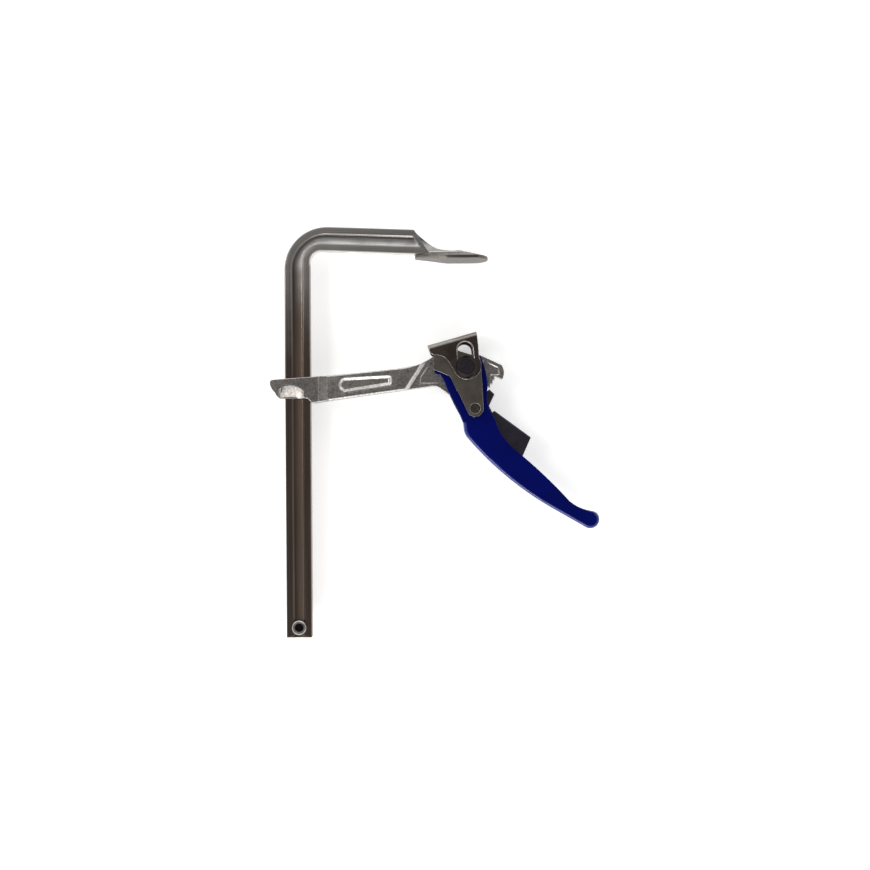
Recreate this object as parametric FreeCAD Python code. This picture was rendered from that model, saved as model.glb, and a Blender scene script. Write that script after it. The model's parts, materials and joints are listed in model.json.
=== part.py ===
"""Ratchet-lever bar clamp, all steel: a forged fixed bar, a forged sliding arm and a ratchet handle.

Millimetres. The clamp lies on its side: +X points away from the rail, +Y points up the rail towards
the fixed jaw and +Z is square to the plane of the bar. The origin is the middle of the fixed jaw's
clamping face, half way through the thickness. The front is the +Z side.
"""

import FreeCAD
import Part

import math
import os

# Rail and bridge of the fixed bar
RAIL_WIDTH = 25.0
RAIL_THICK = 12.0
RAIL_BELOW_JAW = 374.7
THROAT = 141.9
BRIDGE_WIDTH = 24.0
BRIDGE_RISE = 5.0
BRIDGE_FALL_DEG = 2.2
BEND_OUTER_R = 42.5
BEND_INNER_R = 11.0
BAR_EDGE_R = 1.1
GROOVE_WIDTH = 12.0
GROOVE_DEPTH = 1.3
GROOVE_DRAFT = 1.6

# Fixed jaw
JAW_HALF_WIDTH = 17.0
JAW_TIP_REACH = 35.8
JAW_FLAT_END = 25.0
JAW_FULL_WIDTH_X = -4.0
JAW_ROOT_X = -37.0
JAW_ROOT_RISE = 2.2
JAW_SLANT = 0.68
JAW_EDGE_THICK = 3.2
JAW_CREST_HEIGHT = 8.6
JAW_CREST_REACH = 16.0
JAW_CREST_FLAT_END = 14.0
JAW_WEB_THICK = 7.0
JAW_WEB_HEIGHT = 10.0

# End stop pin of the rail, a tubular rivet with a collar on each side
STOP_R = 5.2
STOP_HOLLOW_R = 4.3
STOP_HOLLOW_DEPTH = 3.5
STOP_COLLAR_R = 7.2
STOP_FROM_END = 10.1
STOP_STANDOUT = 2.0
STOP_CHAMFER = 0.9

# Lever pivot, and the rest pose of the arm
PIVOT_X = 13.4
PIVOT_BELOW_JAW = 107.0
ARM_TILT_DEG = 6.4
SLIDE_GAP = 0.15
FACE_GAP = 0.25

# Sliding arm
COLLAR_THICK = 26.0
COLLAR_DROP = 29.9
COLLAR_RIGHT_LAND = 9.0
NECK_THICK = 18.0
HEAD_THICK = 12.0
ARM_EDGE_CHAMFER = 1.3
COLLAR_FACET_LENGTH = 8.0
HEAD_FACET_LENGTH = 3.4
HEAD_FACET_LEAN_DEG = 57.4
HEAD_FACET_REACH = 62.0
HEAD_FACET_DROP = 22.3
COLLAR_LEFT_LAND = 14.4
FRONT_SCALLOP_DEPTH = 6.0
RECESS_DEPTH = 2.2
RECESS_END_REACH = 74.9
NECK_BEND_REACH = 65.8
NECK_WAIST_REACH = 52.0
NECK_LOW_REACH = 56.3
NECK_LOW_DROP = 21.7
NECK_BEVEL_START = 20.0
NECK_BEVEL_END = 60.0
POCKET_DEPTH = 1.6

# Ratchet teeth on the arm
TOOTH_TIP_R = 31.3
TOOTH_DEPTH = 2.3
TOOTH_PITCH_DEG = 8.0
TOOTH_FIRST_DEG = -25.3
TOOTH_COUNT = 9

# Pivot pin
PIN_R = 7.1
PIN_FIT = 0.07
PIN_HEAD_R = 10.6
PIN_HEAD_TOP_R = 7.8
PIN_HEAD_THICK = 3.4
PIN_HEAD_GAP = 0.2
WASHER_R = 11.0
WASHER_THICK = 1.5
PEEN_R = 9.0
PEEN_THICK = 1.6

# Lever
LEVER_GAP = 0.3
LEVER_SHEET = 3.0
LEVER_BEND_R = 3.4
LEVER_TIP_REACH = 122.1
LEVER_TIP_DROP = 151.8
LEVER_TIP_R = 9.1
LEVER_TIP_LEAN_DEG = -30.0
LEVER_TIP_STRAIGHT = 36.0
LEVER_TIP_WRAP_DEG = 48.0
LEVER_SHOULDER_R = 16.3
LEVER_SHOULDER_REACH = 5.3
LEVER_SHOULDER_DROP = 18.8
LEVER_SHOULDER_DEG = 186.0
FOLD_TOP_DROP = 55.0

# Cam plates, riveted to the lever
CAM_THICK = 4.0
CAM_RATE = 6.0
CAM_SWEEP_DEG = 32.0
CAM_CLEAR = 0.7
LINK_REACH = 8.3
LINK_DROP = 41.0
CAM_END_R = 8.3
RIVET_R = 4.0
RIVET_HEAD_R = 5.0
RIVET_HEAD_THICK = 1.4
RIVET_SUNK = 0.7

# Pressure piece
PAD_TILT_DEG = 15.6
PAD_FACE_HEIGHT = 31.0
PAD_WEB_THICK = 3.5
PAD_SHEET = 3.0
PAD_GAP = 0.3
PAD_BEND_R = 5.2
PAD_EYE_R = 13.0
SLOT_LEAN_DEG = 10.6
SLOT_CLEAR = 0.15
SLOT_ABOVE = 17.0
SLOT_BELOW = 3.5
SLOT_COIN = 1.0

# Pawl, release trigger and spring
PAWL_THICK = 7.0
PAWL_EYE_R = 8.2
PAWL_BORE_FIT = 0.06
PAWL_TIP_CLEAR = 0.3
PAWL_FLANK_DEG = -43.7
PAWL_NOSE_SPAN_DEG = 15.0
PAWL_OUTER_R = 38.6
SPACER_R = 5.0
SPACER_FACE_GAP = 0.1
TRIGGER_SHEET = 1.5
TRIGGER_EDGE_R = 1.4
TRIGGER_RIVET_R = 2.0
TRIGGER_RIVET_HEAD_R = 2.8
TRIGGER_RIVET_HEAD_THICK = 0.9
SPRING_WIRE_R = 0.45
SPRING_WIRE_SIDES = 8
SPRING_COIL_CLEAR = 0.1
SPRING_TURN_GAP = 0.06
SPRING_SEAT_GAP = 0.06
SPRING_HOOK_ALONG = 4.0
SPRING_BACK_LEG = 24.0

# Worked out from the sizes above
RAIL_RIGHT = -THROAT
RAIL_LEFT = RAIL_RIGHT - RAIL_WIDTH
RAIL_END = -RAIL_BELOW_JAW
RAIL_MID = RAIL_RIGHT - RAIL_WIDTH / 2
HALF_RAIL = RAIL_THICK / 2
PIVOT = (PIVOT_X, -PIVOT_BELOW_JAW)
LINK = (PIVOT_X + LINK_REACH, -PIVOT_BELOW_JAW - LINK_DROP)
FOLD_TOP_Y = -PIVOT_BELOW_JAW - FOLD_TOP_DROP
COLLAR_BOTTOM = -PIVOT_BELOW_JAW - COLLAR_DROP
HEAD_Z = HEAD_THICK / 2
NECK_Z = NECK_THICK / 2
COLLAR_Z = COLLAR_THICK / 2
LEVER_IN_Z = HEAD_Z + LEVER_GAP
LEVER_OUT_Z = LEVER_IN_Z + LEVER_SHEET
CAM_OUT_Z = LEVER_OUT_Z + CAM_THICK
PAD_IN_Z = CAM_OUT_Z + PAD_GAP
PAD_OUT_Z = PAD_IN_Z + PAD_SHEET
PIN_SEAT_Z = PAD_OUT_Z + PIN_HEAD_GAP
PAWL_Z = PAWL_THICK / 2
TRIGGER_Z = PAWL_Z + TRIGGER_SHEET
FAR = 60.0


# Small helpers for points, outlines and solids

def vec(point, z=0.0):
    """A vector from an (x, y) point and a height."""
    return FreeCAD.Vector(point[0], point[1], z)


def polar(centre, radius, degrees):
    """The point at a radius and an angle about a centre."""
    angle = math.radians(degrees)
    return (centre[0] + radius * math.cos(angle), centre[1] + radius * math.sin(angle))


def off_pivot(x, y):
    """A point given from the lever pivot."""
    return (PIVOT[0] + x, PIVOT[1] + y)


def below_pivot(drop):
    """The height of a line this far below the lever pivot."""
    return PIVOT[1] - drop


def off_link(x, y):
    """A point given from the link rivet."""
    return (LINK[0] + x, LINK[1] + y)


def outline(start, steps, z=0.0):
    """A closed wire. A step is an end point, or a pair: a point that an arc runs through, and its end."""
    edges = []
    here = start
    for step in steps + [start]:
        if isinstance(step[0], tuple):
            through, end = step
            edges.append(Part.Arc(vec(here, z), vec(through, z), vec(end, z)).toShape())
        else:
            end = step
            if math.dist(here, end) > 1e-6:
                edges.append(Part.makeLine(vec(here, z), vec(end, z)))
        here = end
    return Part.Wire(edges)


def slab(start, steps, low, high):
    """A flat plate between two heights."""
    return Part.Face(outline(start, steps, low)).extrude(vec((0, 0), high - low))


def disc(centre, radius, low, high):
    """A round plate or a shank between two heights."""
    return Part.makeCylinder(radius, high - low, vec(centre, low))


def cone(centre, low_r, high_r, low, high):
    """A cone frustum between two heights."""
    return Part.makeCone(low_r, high_r, high - low, vec(centre, low))


def both_sides(tool):
    """A tool made for the front, with its mirror image for the back."""
    return tool.fuse(tool.mirror(vec((0, 0)), FreeCAD.Vector(0, 0, 1)))


def edges_where(shape, test):
    """The edges of a shape whose middle point passes a test."""
    found = []
    for edge in shape.Edges:
        middle = edge.valueAt((edge.FirstParameter + edge.LastParameter) / 2)
        if test(middle, edge):
            found.append(edge)
    return found


def save(name, shape):
    """Writes one sub-part, after a check that it is one sound solid."""
    solids = shape.Solids
    if len(solids) != 1 or not solids[0].isValid():
        raise RuntimeError(f"{name}: {len(solids)} solids, valid {shape.isValid()}")
    solids[0].exportStep(f"parts/{name}.step")
    box = solids[0].BoundBox
    lengths = f"{box.XLength:.1f} x {box.YLength:.1f} x {box.ZLength:.1f} mm"
    print(f"{name}: {lengths}, {len(solids[0].Faces)} faces")


# Fixed bar: rail, bend and bridge in one grooved section, with the jaw forged on its end

def bridge_line(x, inset):
    """Height of a line along the bridge: inset 0 is its top edge and BRIDGE_WIDTH its lower edge."""
    at_jaw = BRIDGE_RISE + BRIDGE_WIDTH - inset
    return at_jaw - x * math.tan(math.radians(BRIDGE_FALL_DEG))


def bend_arc(left, right_r, inset):
    """Where the bend's arc leaves the rail, its middle and where it meets the bridge."""
    fall = math.radians(BRIDGE_FALL_DEG)
    centre_x = left + right_r
    centre_y = bridge_line(centre_x, inset) - right_r / math.cos(fall)
    centre = (centre_x, centre_y)
    middle_deg = (180.0 + 90.0 - BRIDGE_FALL_DEG) / 2
    leave = (left, centre_y)
    meet = polar(centre, right_r, 90.0 - BRIDGE_FALL_DEG)
    return leave, polar(centre, right_r, middle_deg), meet


def bar_outline(inset, end_x, rail_end, z):
    """The bar's outline, drawn in from its edges by an inset, as a wire at one height."""
    outer = bend_arc(RAIL_LEFT + inset, BEND_OUTER_R - inset, inset)
    inner = bend_arc(RAIL_RIGHT - inset, BEND_INNER_R + inset, BRIDGE_WIDTH - inset)
    toe_x = end_x + (BRIDGE_WIDTH - 2 * inset) * JAW_SLANT
    steps = [
        outer[0],
        (outer[1], outer[2]),
        (end_x, bridge_line(end_x, inset)),
        (toe_x, bridge_line(toe_x, BRIDGE_WIDTH - inset)),
        inner[2],
        (inner[1], inner[0]),
        (RAIL_RIGHT - inset, rail_end),
    ]
    return outline((RAIL_LEFT + inset, rail_end), steps, z)


def fixed_bar():
    bar_end_x = JAW_ROOT_X - 1.0
    bar = Part.Face(bar_outline(0.0, bar_end_x, RAIL_END, -HALF_RAIL)).extrude(vec((0, 0), RAIL_THICK))
    long_edges = edges_where(bar, lambda m, e: abs(abs(m.z) - HALF_RAIL) < 0.01 and m.x < bar_end_x)
    bar = bar.makeFillet(BAR_EDGE_R, long_edges)

    flange = (RAIL_WIDTH - GROOVE_WIDTH) / 2
    groove_end_x = bar_end_x - 1.0
    mouth = bar_outline(flange, groove_end_x, RAIL_END - 1.0, HALF_RAIL + 0.01)
    floor = bar_outline(flange + GROOVE_DRAFT, groove_end_x, RAIL_END - 1.0, HALF_RAIL - GROOVE_DEPTH)
    bar = bar.cut(both_sides(Part.makeLoft([mouth, floor], True, True)))

    jaw = jaw_plate().fuse([jaw_crown(), jaw_web(bar_end_x)])
    bar = bar.fuse(jaw).removeSplitter()

    return bar.cut(disc(stop_centre(), STOP_R, -HALF_RAIL, HALF_RAIL))


def jaw_plan(half_width, root_half, tip_x, flat_end, root_x, y):
    """The tongue shape of the jaw seen from above, as a wire at one height above the clamping face."""
    full_x = JAW_FULL_WIDTH_X
    bulge_x = (root_x + full_x) / 2
    bulge = root_half + 0.42 * (half_width - root_half)

    def at(x, z):
        return FreeCAD.Vector(x, y, z)

    near = [at(root_x, -root_half), at(bulge_x, -bulge), at(full_x, -half_width)]
    far = [at(full_x, half_width), at(bulge_x, bulge), at(root_x, root_half)]
    edges = [
        Part.Arc(*near).toShape(),
        Part.makeLine(near[2], at(flat_end, -half_width)),
        Part.Arc(at(flat_end, -half_width), at(tip_x, 0), at(flat_end, half_width)).toShape(),
        Part.makeLine(at(flat_end, half_width), far[0]),
        Part.Arc(*far).toShape(),
        Part.makeLine(far[2], near[0]),
    ]
    return Part.Wire(edges)


def jaw_plate():
    plan = jaw_plan(JAW_HALF_WIDTH, HALF_RAIL, JAW_TIP_REACH, JAW_FLAT_END, JAW_ROOT_X, 0.0)
    plate = Part.Face(plan).extrude(FreeCAD.Vector(0, JAW_EDGE_THICK, 0))
    under = [
        (JAW_ROOT_X - 1.0, -1.0),
        (JAW_ROOT_X - 1.0, JAW_ROOT_RISE),
        (JAW_FULL_WIDTH_X - 4.0, 0.0),
        (JAW_FULL_WIDTH_X - 4.0, -1.0),
    ]
    return plate.cut(slab(under[0], under[1:], -FAR, FAR))


def jaw_crown():
    """The crown above the plate's edge, sloping from the rim to a narrow crest."""
    rim = jaw_plan(JAW_HALF_WIDTH, HALF_RAIL, JAW_TIP_REACH, JAW_FLAT_END, JAW_ROOT_X, JAW_EDGE_THICK)
    crest_half = JAW_WEB_THICK / 2
    crest = jaw_plan(crest_half, crest_half - 0.1, JAW_CREST_REACH, JAW_CREST_FLAT_END,
                     JAW_ROOT_X + 2.0, JAW_CREST_HEIGHT)
    return Part.makeLoft([rim, crest], True, True)


def jaw_web(bar_end_x):
    """The thin web that sweeps from the end of the bridge down to the crest of the jaw."""
    top = bridge_line(bar_end_x, 0.0)
    steps = [
        ((-27.0, 19.7), (-15.9, 12.4)),
        ((-7.0, 10.4), (3.1, JAW_WEB_HEIGHT)),
        ((11.1, 9.2), (JAW_CREST_REACH, JAW_EDGE_THICK)),
        (JAW_ROOT_X + 2.0, JAW_EDGE_THICK),
        (bar_end_x, bridge_line(bar_end_x, BRIDGE_WIDTH)),
    ]
    return slab((bar_end_x, top - 0.3), steps, -JAW_WEB_THICK / 2, JAW_WEB_THICK / 2)


def stop_centre():
    return (RAIL_MID, RAIL_END + STOP_FROM_END)


def end_stop_pin():
    tip = HALF_RAIL + STOP_STANDOUT
    collar = disc(stop_centre(), STOP_COLLAR_R, HALF_RAIL, tip)
    rims = edges_where(collar, lambda m, e: abs(m.z - tip) < 0.01)
    collar = collar.makeChamfer(STOP_CHAMFER, rims)
    pin = disc(stop_centre(), STOP_R, -tip, tip).fuse(both_sides(collar))
    hollow = disc(stop_centre(), STOP_HOLLOW_R, tip - STOP_HOLLOW_DEPTH, tip)
    return pin.cut(both_sides(hollow)).removeSplitter()


# Sliding arm: collar round the rail, swaged neck, and a head with the pivot bore and ratchet teeth

def arm_steps():
    """The arm's side outline, clockwise from the left end of the collar."""
    left = RAIL_LEFT - COLLAR_LEFT_LAND
    right = RAIL_RIGHT
    tooth_root_r = TOOTH_TIP_R - TOOTH_DEPTH
    start = (left, below_pivot(15.0))
    steps = [
        ((left + 0.9, below_pivot(12.2)), (left + 3.8, below_pivot(11.2))),
        (right + 5.7, below_pivot(8.5)),
        off_pivot(-NECK_BEND_REACH, -0.4),
        off_pivot(-NECK_WAIST_REACH, 1.3),
        (off_pivot(-44.6, 4.2), off_pivot(-35.0, 9.5)),
        (off_pivot(-28.0, 13.0), off_pivot(-19.4, 15.1)),
        off_pivot(-8.4, 15.5),
        off_pivot(5.1, 11.3),
        off_pivot(13.7, 12.1),
        off_pivot(33.0, 3.1),
        (off_pivot(35.4, 1.6), off_pivot(36.4, -0.6)),
        (off_pivot(37.5, -5.6), off_pivot(36.5, -10.2)),
        (off_pivot(36.1, -11.6), off_pivot(34.9, -11.7)),
        (off_pivot(31.5, -10.0), polar(PIVOT, tooth_root_r, TOOTH_FIRST_DEG + TOOTH_PITCH_DEG)),
    ]
    for tooth in range(TOOTH_COUNT):
        tip_deg = TOOTH_FIRST_DEG - tooth * TOOTH_PITCH_DEG
        steps.append(polar(PIVOT, TOOTH_TIP_R, tip_deg))
        steps.append(polar(PIVOT, tooth_root_r, tip_deg))
    last_deg = TOOTH_FIRST_DEG - TOOTH_COUNT * TOOTH_PITCH_DEG
    steps += [
        polar(PIVOT, TOOTH_TIP_R, last_deg),
        (polar(PIVOT, TOOTH_TIP_R + 0.3, (last_deg - 121.0) / 2), polar(PIVOT, 32.3, -121.0)),
        off_pivot(-25.3, -21.6),
        (off_pivot(-30.2, -19.0), off_pivot(-36.2, -18.9)),
        off_pivot(-NECK_LOW_REACH, -NECK_LOW_DROP),
        (right + COLLAR_RIGHT_LAND, below_pivot(33.6)),
        (right + 2.6, below_pivot(34.6)),
        (right - 0.4, below_pivot(31.7)),
        (right - 2.4, COLLAR_BOTTOM),
        (left + 9.4, COLLAR_BOTTOM),
        ((left + 7.0, below_pivot(27.6)), (left + 5.0, below_pivot(24.2))),
        ((left + 1.6, below_pivot(20.0)), start),
    ]
    return start, steps


def thickness_mask():
    """The arm's section seen from above: thick at the collar, thinner along the neck."""
    facet_start = RAIL_RIGHT + COLLAR_RIGHT_LAND
    facet_end = facet_start + COLLAR_FACET_LENGTH
    corners = [
        (RAIL_LEFT - FAR, -COLLAR_Z),
        (facet_start, -COLLAR_Z),
        (facet_end, -NECK_Z),
        (PIVOT_X + FAR, -NECK_Z),
        (PIVOT_X + FAR, NECK_Z),
        (facet_end, NECK_Z),
        (facet_start, COLLAR_Z),
        (RAIL_LEFT - FAR, COLLAR_Z),
    ]
    points = [FreeCAD.Vector(x, -PIVOT_BELOW_JAW - FAR, z) for x, z in corners]
    return Part.Face(Part.makePolygon(points + points[:1])).extrude(FreeCAD.Vector(0, 2 * FAR, 0))


def head_facet():
    """What is cut off the front so that the neck steps down to the head along a slanted facet."""
    start = off_pivot(-HEAD_FACET_REACH, -HEAD_FACET_DROP)
    profile = [
        (0.0, NECK_Z + 0.001),
        (HEAD_FACET_LENGTH, HEAD_Z),
        (3 * FAR, HEAD_Z),
        (3 * FAR, COLLAR_Z + 1.0),
        (0.0, COLLAR_Z + 1.0),
    ]
    points = [FreeCAD.Vector(across, -2 * FAR, z) for across, z in profile]
    tool = Part.Face(Part.makePolygon(points + points[:1])).extrude(FreeCAD.Vector(0, 4 * FAR, 0))
    tool.rotate(vec((0, 0)), FreeCAD.Vector(0, 0, 1), HEAD_FACET_LEAN_DEG - 90.0)
    tool.translate(vec(start))
    return tool


def neck_recess():
    """The long tapered hollow pressed into the neck, round at the collar end."""
    def ring(inset, z):
        left_mid = (RAIL_RIGHT + 28.7 + inset, below_pivot(17.0))
        top_left = (RAIL_RIGHT + 34.4 + inset / 2, below_pivot(9.8 + inset))
        top_right = off_pivot(-RECESS_END_REACH - inset, -7.8 - inset)
        low_right = off_pivot(-RECESS_END_REACH - inset, -17.0 + inset)
        low_left = (RAIL_RIGHT + 34.9 + inset / 2, below_pivot(23.6 - inset))
        return outline(top_left, [top_right, low_right, low_left, (left_mid, top_left)], z)
    return Part.makeLoft([ring(0.0, NECK_Z + 0.01), ring(2.4, NECK_Z - RECESS_DEPTH)], True, True)


def head_pockets():
    """The shallow pockets that leave a raised rim round the head's outline."""
    floor = HEAD_Z - POCKET_DEPTH
    left = slab(
        off_pivot(-45.4, -9.6),
        [
            off_pivot(-38.2, 1.2),
            (off_pivot(-31.0, 6.6), off_pivot(-20.5, 10.3)),
            off_pivot(-14.5, 3.0),
            (off_pivot(-15.6, -2.6), off_pivot(-13.5, -8.5)),
            off_pivot(-21.5, -15.2),
            off_pivot(-45.8, -15.4),
        ],
        floor,
        COLLAR_Z,
    )
    right = slab(
        off_pivot(16.8, 6.6),
        [
            off_pivot(32.0, -0.6),
            off_pivot(32.4, -7.6),
            off_pivot(24.0, -7.6),
            (off_pivot(22.4, -12.8), off_pivot(19.4, -17.0)),
            off_pivot(11.5, -11.5),
            (off_pivot(15.6, -3.4), off_pivot(15.4, 3.0)),
        ],
        floor,
        COLLAR_Z,
    )
    return left.fuse(right)


def front_scallop():
    """The arched bevel over the rail at the collar's lower edge."""
    def arch(top_drop, side_drop, left, right, z):
        top = ((left + right) / 2, below_pivot(top_drop))
        side = below_pivot(side_drop)
        base = below_pivot(FAR)
        return outline((left, side), [(top, (right, side - 1.6)), (right, base), (left, base)], z)
    outer = arch(17.2, 21.4, RAIL_LEFT - 5.0, RAIL_RIGHT - 6.3, COLLAR_Z + 0.01)
    inner = arch(28.2, 29.8, RAIL_LEFT - 4.6, RAIL_RIGHT - 6.6, COLLAR_Z - FRONT_SCALLOP_DEPTH)
    return Part.makeLoft([outer, inner], True, True)


def rail_slot():
    """The slot that slides on the rail, square to the tilted arm, so its corners meet the rail."""
    lean = math.tan(math.radians(ARM_TILT_DEG))
    top = below_pivot(-7.0)
    bottom = below_pivot(FAR)
    left_touch = COLLAR_BOTTOM
    right_touch = below_pivot(8.7)

    def left_wall(y):
        return RAIL_LEFT - SLIDE_GAP - (y - left_touch) * lean

    def right_wall(y):
        return RAIL_RIGHT + SLIDE_GAP - (y - right_touch) * lean

    corners = [
        (left_wall(top), top),
        (right_wall(top), top),
        (right_wall(bottom), bottom),
        (left_wall(bottom), bottom),
    ]
    reach = HALF_RAIL + FACE_GAP
    return slab(corners[0], corners[1:], -reach, reach)


def sliding_arm():
    start, steps = arm_steps()
    arm = slab(start, steps, -COLLAR_Z, COLLAR_Z)
    arm = arm.common(thickness_mask())
    arm = arm.cut(both_sides(head_facet()))

    def on_neck(middle, edge):
        on_edge = abs(abs(middle.z) - NECK_Z) < 0.01
        return on_edge and RAIL_RIGHT + NECK_BEVEL_START < middle.x < PIVOT_X - NECK_BEVEL_END

    arm = arm.makeChamfer(ARM_EDGE_CHAMFER, edges_where(arm, on_neck))
    arm = arm.cut([rail_slot(), both_sides(front_scallop())])
    arm = arm.cut([both_sides(neck_recess()), both_sides(head_pockets())])
    return arm.cut(disc(PIVOT, PIN_R + PIN_FIT, -HEAD_Z, HEAD_Z)).removeSplitter()


# Pivot pin with its flat round head, and the washer under its riveted end

def pivot_pin():
    top = PIN_SEAT_Z + PIN_HEAD_THICK
    shank = disc(PIVOT, PIN_R, -PIN_SEAT_Z - WASHER_THICK, PIN_SEAT_Z)
    rim = disc(PIVOT, PIN_HEAD_R, PIN_SEAT_Z, top - (PIN_HEAD_R - PIN_HEAD_TOP_R))
    bevel = cone(PIVOT, PIN_HEAD_R, PIN_HEAD_TOP_R, top - (PIN_HEAD_R - PIN_HEAD_TOP_R), top)
    peen_top = -PIN_SEAT_Z - WASHER_THICK
    peen = cone(PIVOT, PEEN_R - PEEN_THICK, PEEN_R, peen_top - PEEN_THICK, peen_top)
    return shank.fuse([rim, bevel, peen]).removeSplitter()


def pivot_washer():
    high = -PIN_SEAT_Z
    low = high - WASHER_THICK
    return disc(PIVOT, WASHER_R, low, high).cut(disc(PIVOT, PIN_R, low, high))


# Lever: one sheet folded to a channel that is open towards the trigger, bare cheeks over the arm's head

def lever_tip():
    return off_pivot(LEVER_TIP_REACH, -LEVER_TIP_DROP)


def on_grip(share, off):
    """A point on the way from the link rivet to the handle's tip, and square to it towards the trigger."""
    tip = lever_tip()
    run = (tip[0] - LINK[0], tip[1] - LINK[1])
    aside = off / math.hypot(*run)
    return off_link(run[0] * share - run[1] * aside, run[1] * share + run[0] * aside)


def lever_back(inset):
    """The folded back of the handle, from its upper end to the tip, drawn in by an inset.

    The long arc of the belly runs smoothly into the straight near the tip and into the shoulder's arc.
    """
    tip_low = polar(lever_tip(), LEVER_TIP_R - inset, LEVER_TIP_LEAN_DEG - 90.0)
    straight_start = polar(tip_low, -LEVER_TIP_STRAIGHT, LEVER_TIP_LEAN_DEG)
    square = polar((0.0, 0.0), 1.0, LEVER_TIP_LEAN_DEG + 90.0)
    shoulder = off_link(LEVER_SHOULDER_REACH, -LEVER_SHOULDER_DROP)
    shoulder_r = LEVER_SHOULDER_R - inset
    gap = (straight_start[0] - shoulder[0], straight_start[1] - shoulder[1])
    across = gap[0] * square[0] + gap[1] * square[1]
    belly_r = (shoulder_r ** 2 - gap[0] ** 2 - gap[1] ** 2) / (2 * (across + shoulder_r))
    centre = (straight_start[0] + square[0] * belly_r, straight_start[1] + square[1] * belly_r)
    meet_deg = math.degrees(math.atan2(shoulder[1] - centre[1], shoulder[0] - centre[0])) % 360.0
    belly_deg = (meet_deg + LEVER_TIP_LEAN_DEG + 270.0) / 2
    upper = polar(shoulder, shoulder_r, LEVER_SHOULDER_DEG)
    middle = polar(shoulder, shoulder_r, (LEVER_SHOULDER_DEG + meet_deg) / 2)
    lower = polar(shoulder, shoulder_r, meet_deg)
    top = (upper[0] - 0.7, FOLD_TOP_Y)
    return top, upper, (middle, lower), (polar(centre, belly_r, belly_deg), straight_start), tip_low


def back_steps(inset):
    """Steps up the back, from the end of the tip's arc to the fold's upper end."""
    top, upper, shoulder, belly, tip_low = lever_back(inset)
    tip_arc = (polar(lever_tip(), LEVER_TIP_R - inset, -15.0), tip_low)
    return [tip_arc, belly[1], (belly[0], shoulder[1]), (shoulder[0], upper), top]


def lever_outline():
    wrap = polar(lever_tip(), LEVER_TIP_R, LEVER_TIP_WRAP_DEG)
    steps = [
        off_link(-14.6, -6.6),
        off_link(-20.0, 3.5),
        off_link(-26.7, 17.5),
        off_link(-31.1, 28.8),
        off_pivot(-26.0, -7.0),
        (off_pivot(-31.2, -5.6), off_pivot(-32.0, -1.0)),
        (off_pivot(-28.0, 8.5), off_pivot(-18.0, 13.6)),
        off_pivot(-8.6, 14.6),
        off_pivot(5.0, 10.8),
        (off_pivot(10.5, 12.4), off_pivot(14.0, 10.9)),
        (off_pivot(19.1, -5.0), off_pivot(20.8, -20.9)),
        off_pivot(19.9, -31.0),
        (off_pivot(22.4, -41.4), off_pivot(28.0, -52.1)),
        (on_grip(0.279, -1.8), on_grip(0.357, -2.0)),
        (on_grip(0.563, -0.3), on_grip(0.828, -1.3)),
        (on_grip(0.895, 0.8), wrap),
    ]
    steps += back_steps(0.0)
    return steps[-1], steps[:-1]


def lever_hollow():
    """The space inside the channel: it opens towards the trigger and clears the arm's head."""
    tip = lever_tip()
    steps = [
        (LINK[0] - FAR, FOLD_TOP_Y),
        off_pivot(-FAR, FAR),
        off_pivot(FAR, FAR),
        polar(tip, FAR, LEVER_TIP_WRAP_DEG + 10.0),
        polar(tip, LEVER_TIP_R - LEVER_SHEET, LEVER_TIP_WRAP_DEG),
    ]
    steps += back_steps(LEVER_SHEET)
    return slab(steps[-1], steps[:-1], -LEVER_IN_Z, LEVER_IN_Z)


def lever():
    start, steps = lever_outline()
    body = slab(start, steps, -LEVER_OUT_Z, LEVER_OUT_Z)
    below_fold = slab(
        (-2 * FAR, FOLD_TOP_Y),
        [(6 * FAR, FOLD_TOP_Y), (6 * FAR, -8 * FAR), (-2 * FAR, -8 * FAR)],
        -FAR,
        FAR,
    )
    handle = body.common(below_fold)
    cheeks = body.cut(below_fold)
    tip = lever_tip()
    grip_start = off_link(LEVER_SHOULDER_REACH + 3.0, -LEVER_SHOULDER_DROP + 1.8)

    def on_back(middle, edge):
        if abs(abs(middle.z) - LEVER_OUT_Z) > 0.01 or middle.y > FOLD_TOP_Y - 0.1:
            return False
        grip = (tip[0] - 7.5 - grip_start[0], tip[1] + 1.8 - grip_start[1])
        side = grip[0] * (middle.y - grip_start[1]) - grip[1] * (middle.x - grip_start[0])
        return side < 0 or math.dist((middle.x, middle.y), tip) < LEVER_TIP_R + 0.2

    handle = handle.makeFillet(LEVER_BEND_R, edges_where(handle, on_back))
    body = cheeks.fuse(handle).removeSplitter().cut(lever_hollow())
    pin_hole = disc(PIVOT, PIN_R + PIN_FIT, -LEVER_OUT_Z, LEVER_OUT_Z)
    rivet_hole = disc(LINK, RIVET_R, -LEVER_OUT_Z, LEVER_OUT_Z)
    return body.cut([pin_hole, rivet_hole])


# Cam plates: their spiral edge lifts the pressure piece as the lever closes

def pad_direction(degrees=0.0):
    """Unit vector square to the pressure piece's face, turned on from it by some degrees."""
    angle = math.radians(90.0 + PAD_TILT_DEG + degrees)
    return (math.cos(angle), math.sin(angle))


def cam_point(degrees):
    """A point of the spiral: it touches the pressure piece once the lever has turned by these degrees."""
    square = pad_direction(degrees)
    along = (-square[1], square[0])
    height = PAD_FACE_HEIGHT - PAD_WEB_THICK - CAM_CLEAR + CAM_RATE * math.radians(degrees)
    return off_pivot(
        height * square[0] + CAM_RATE * along[0],
        height * square[1] + CAM_RATE * along[1],
    )


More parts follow.
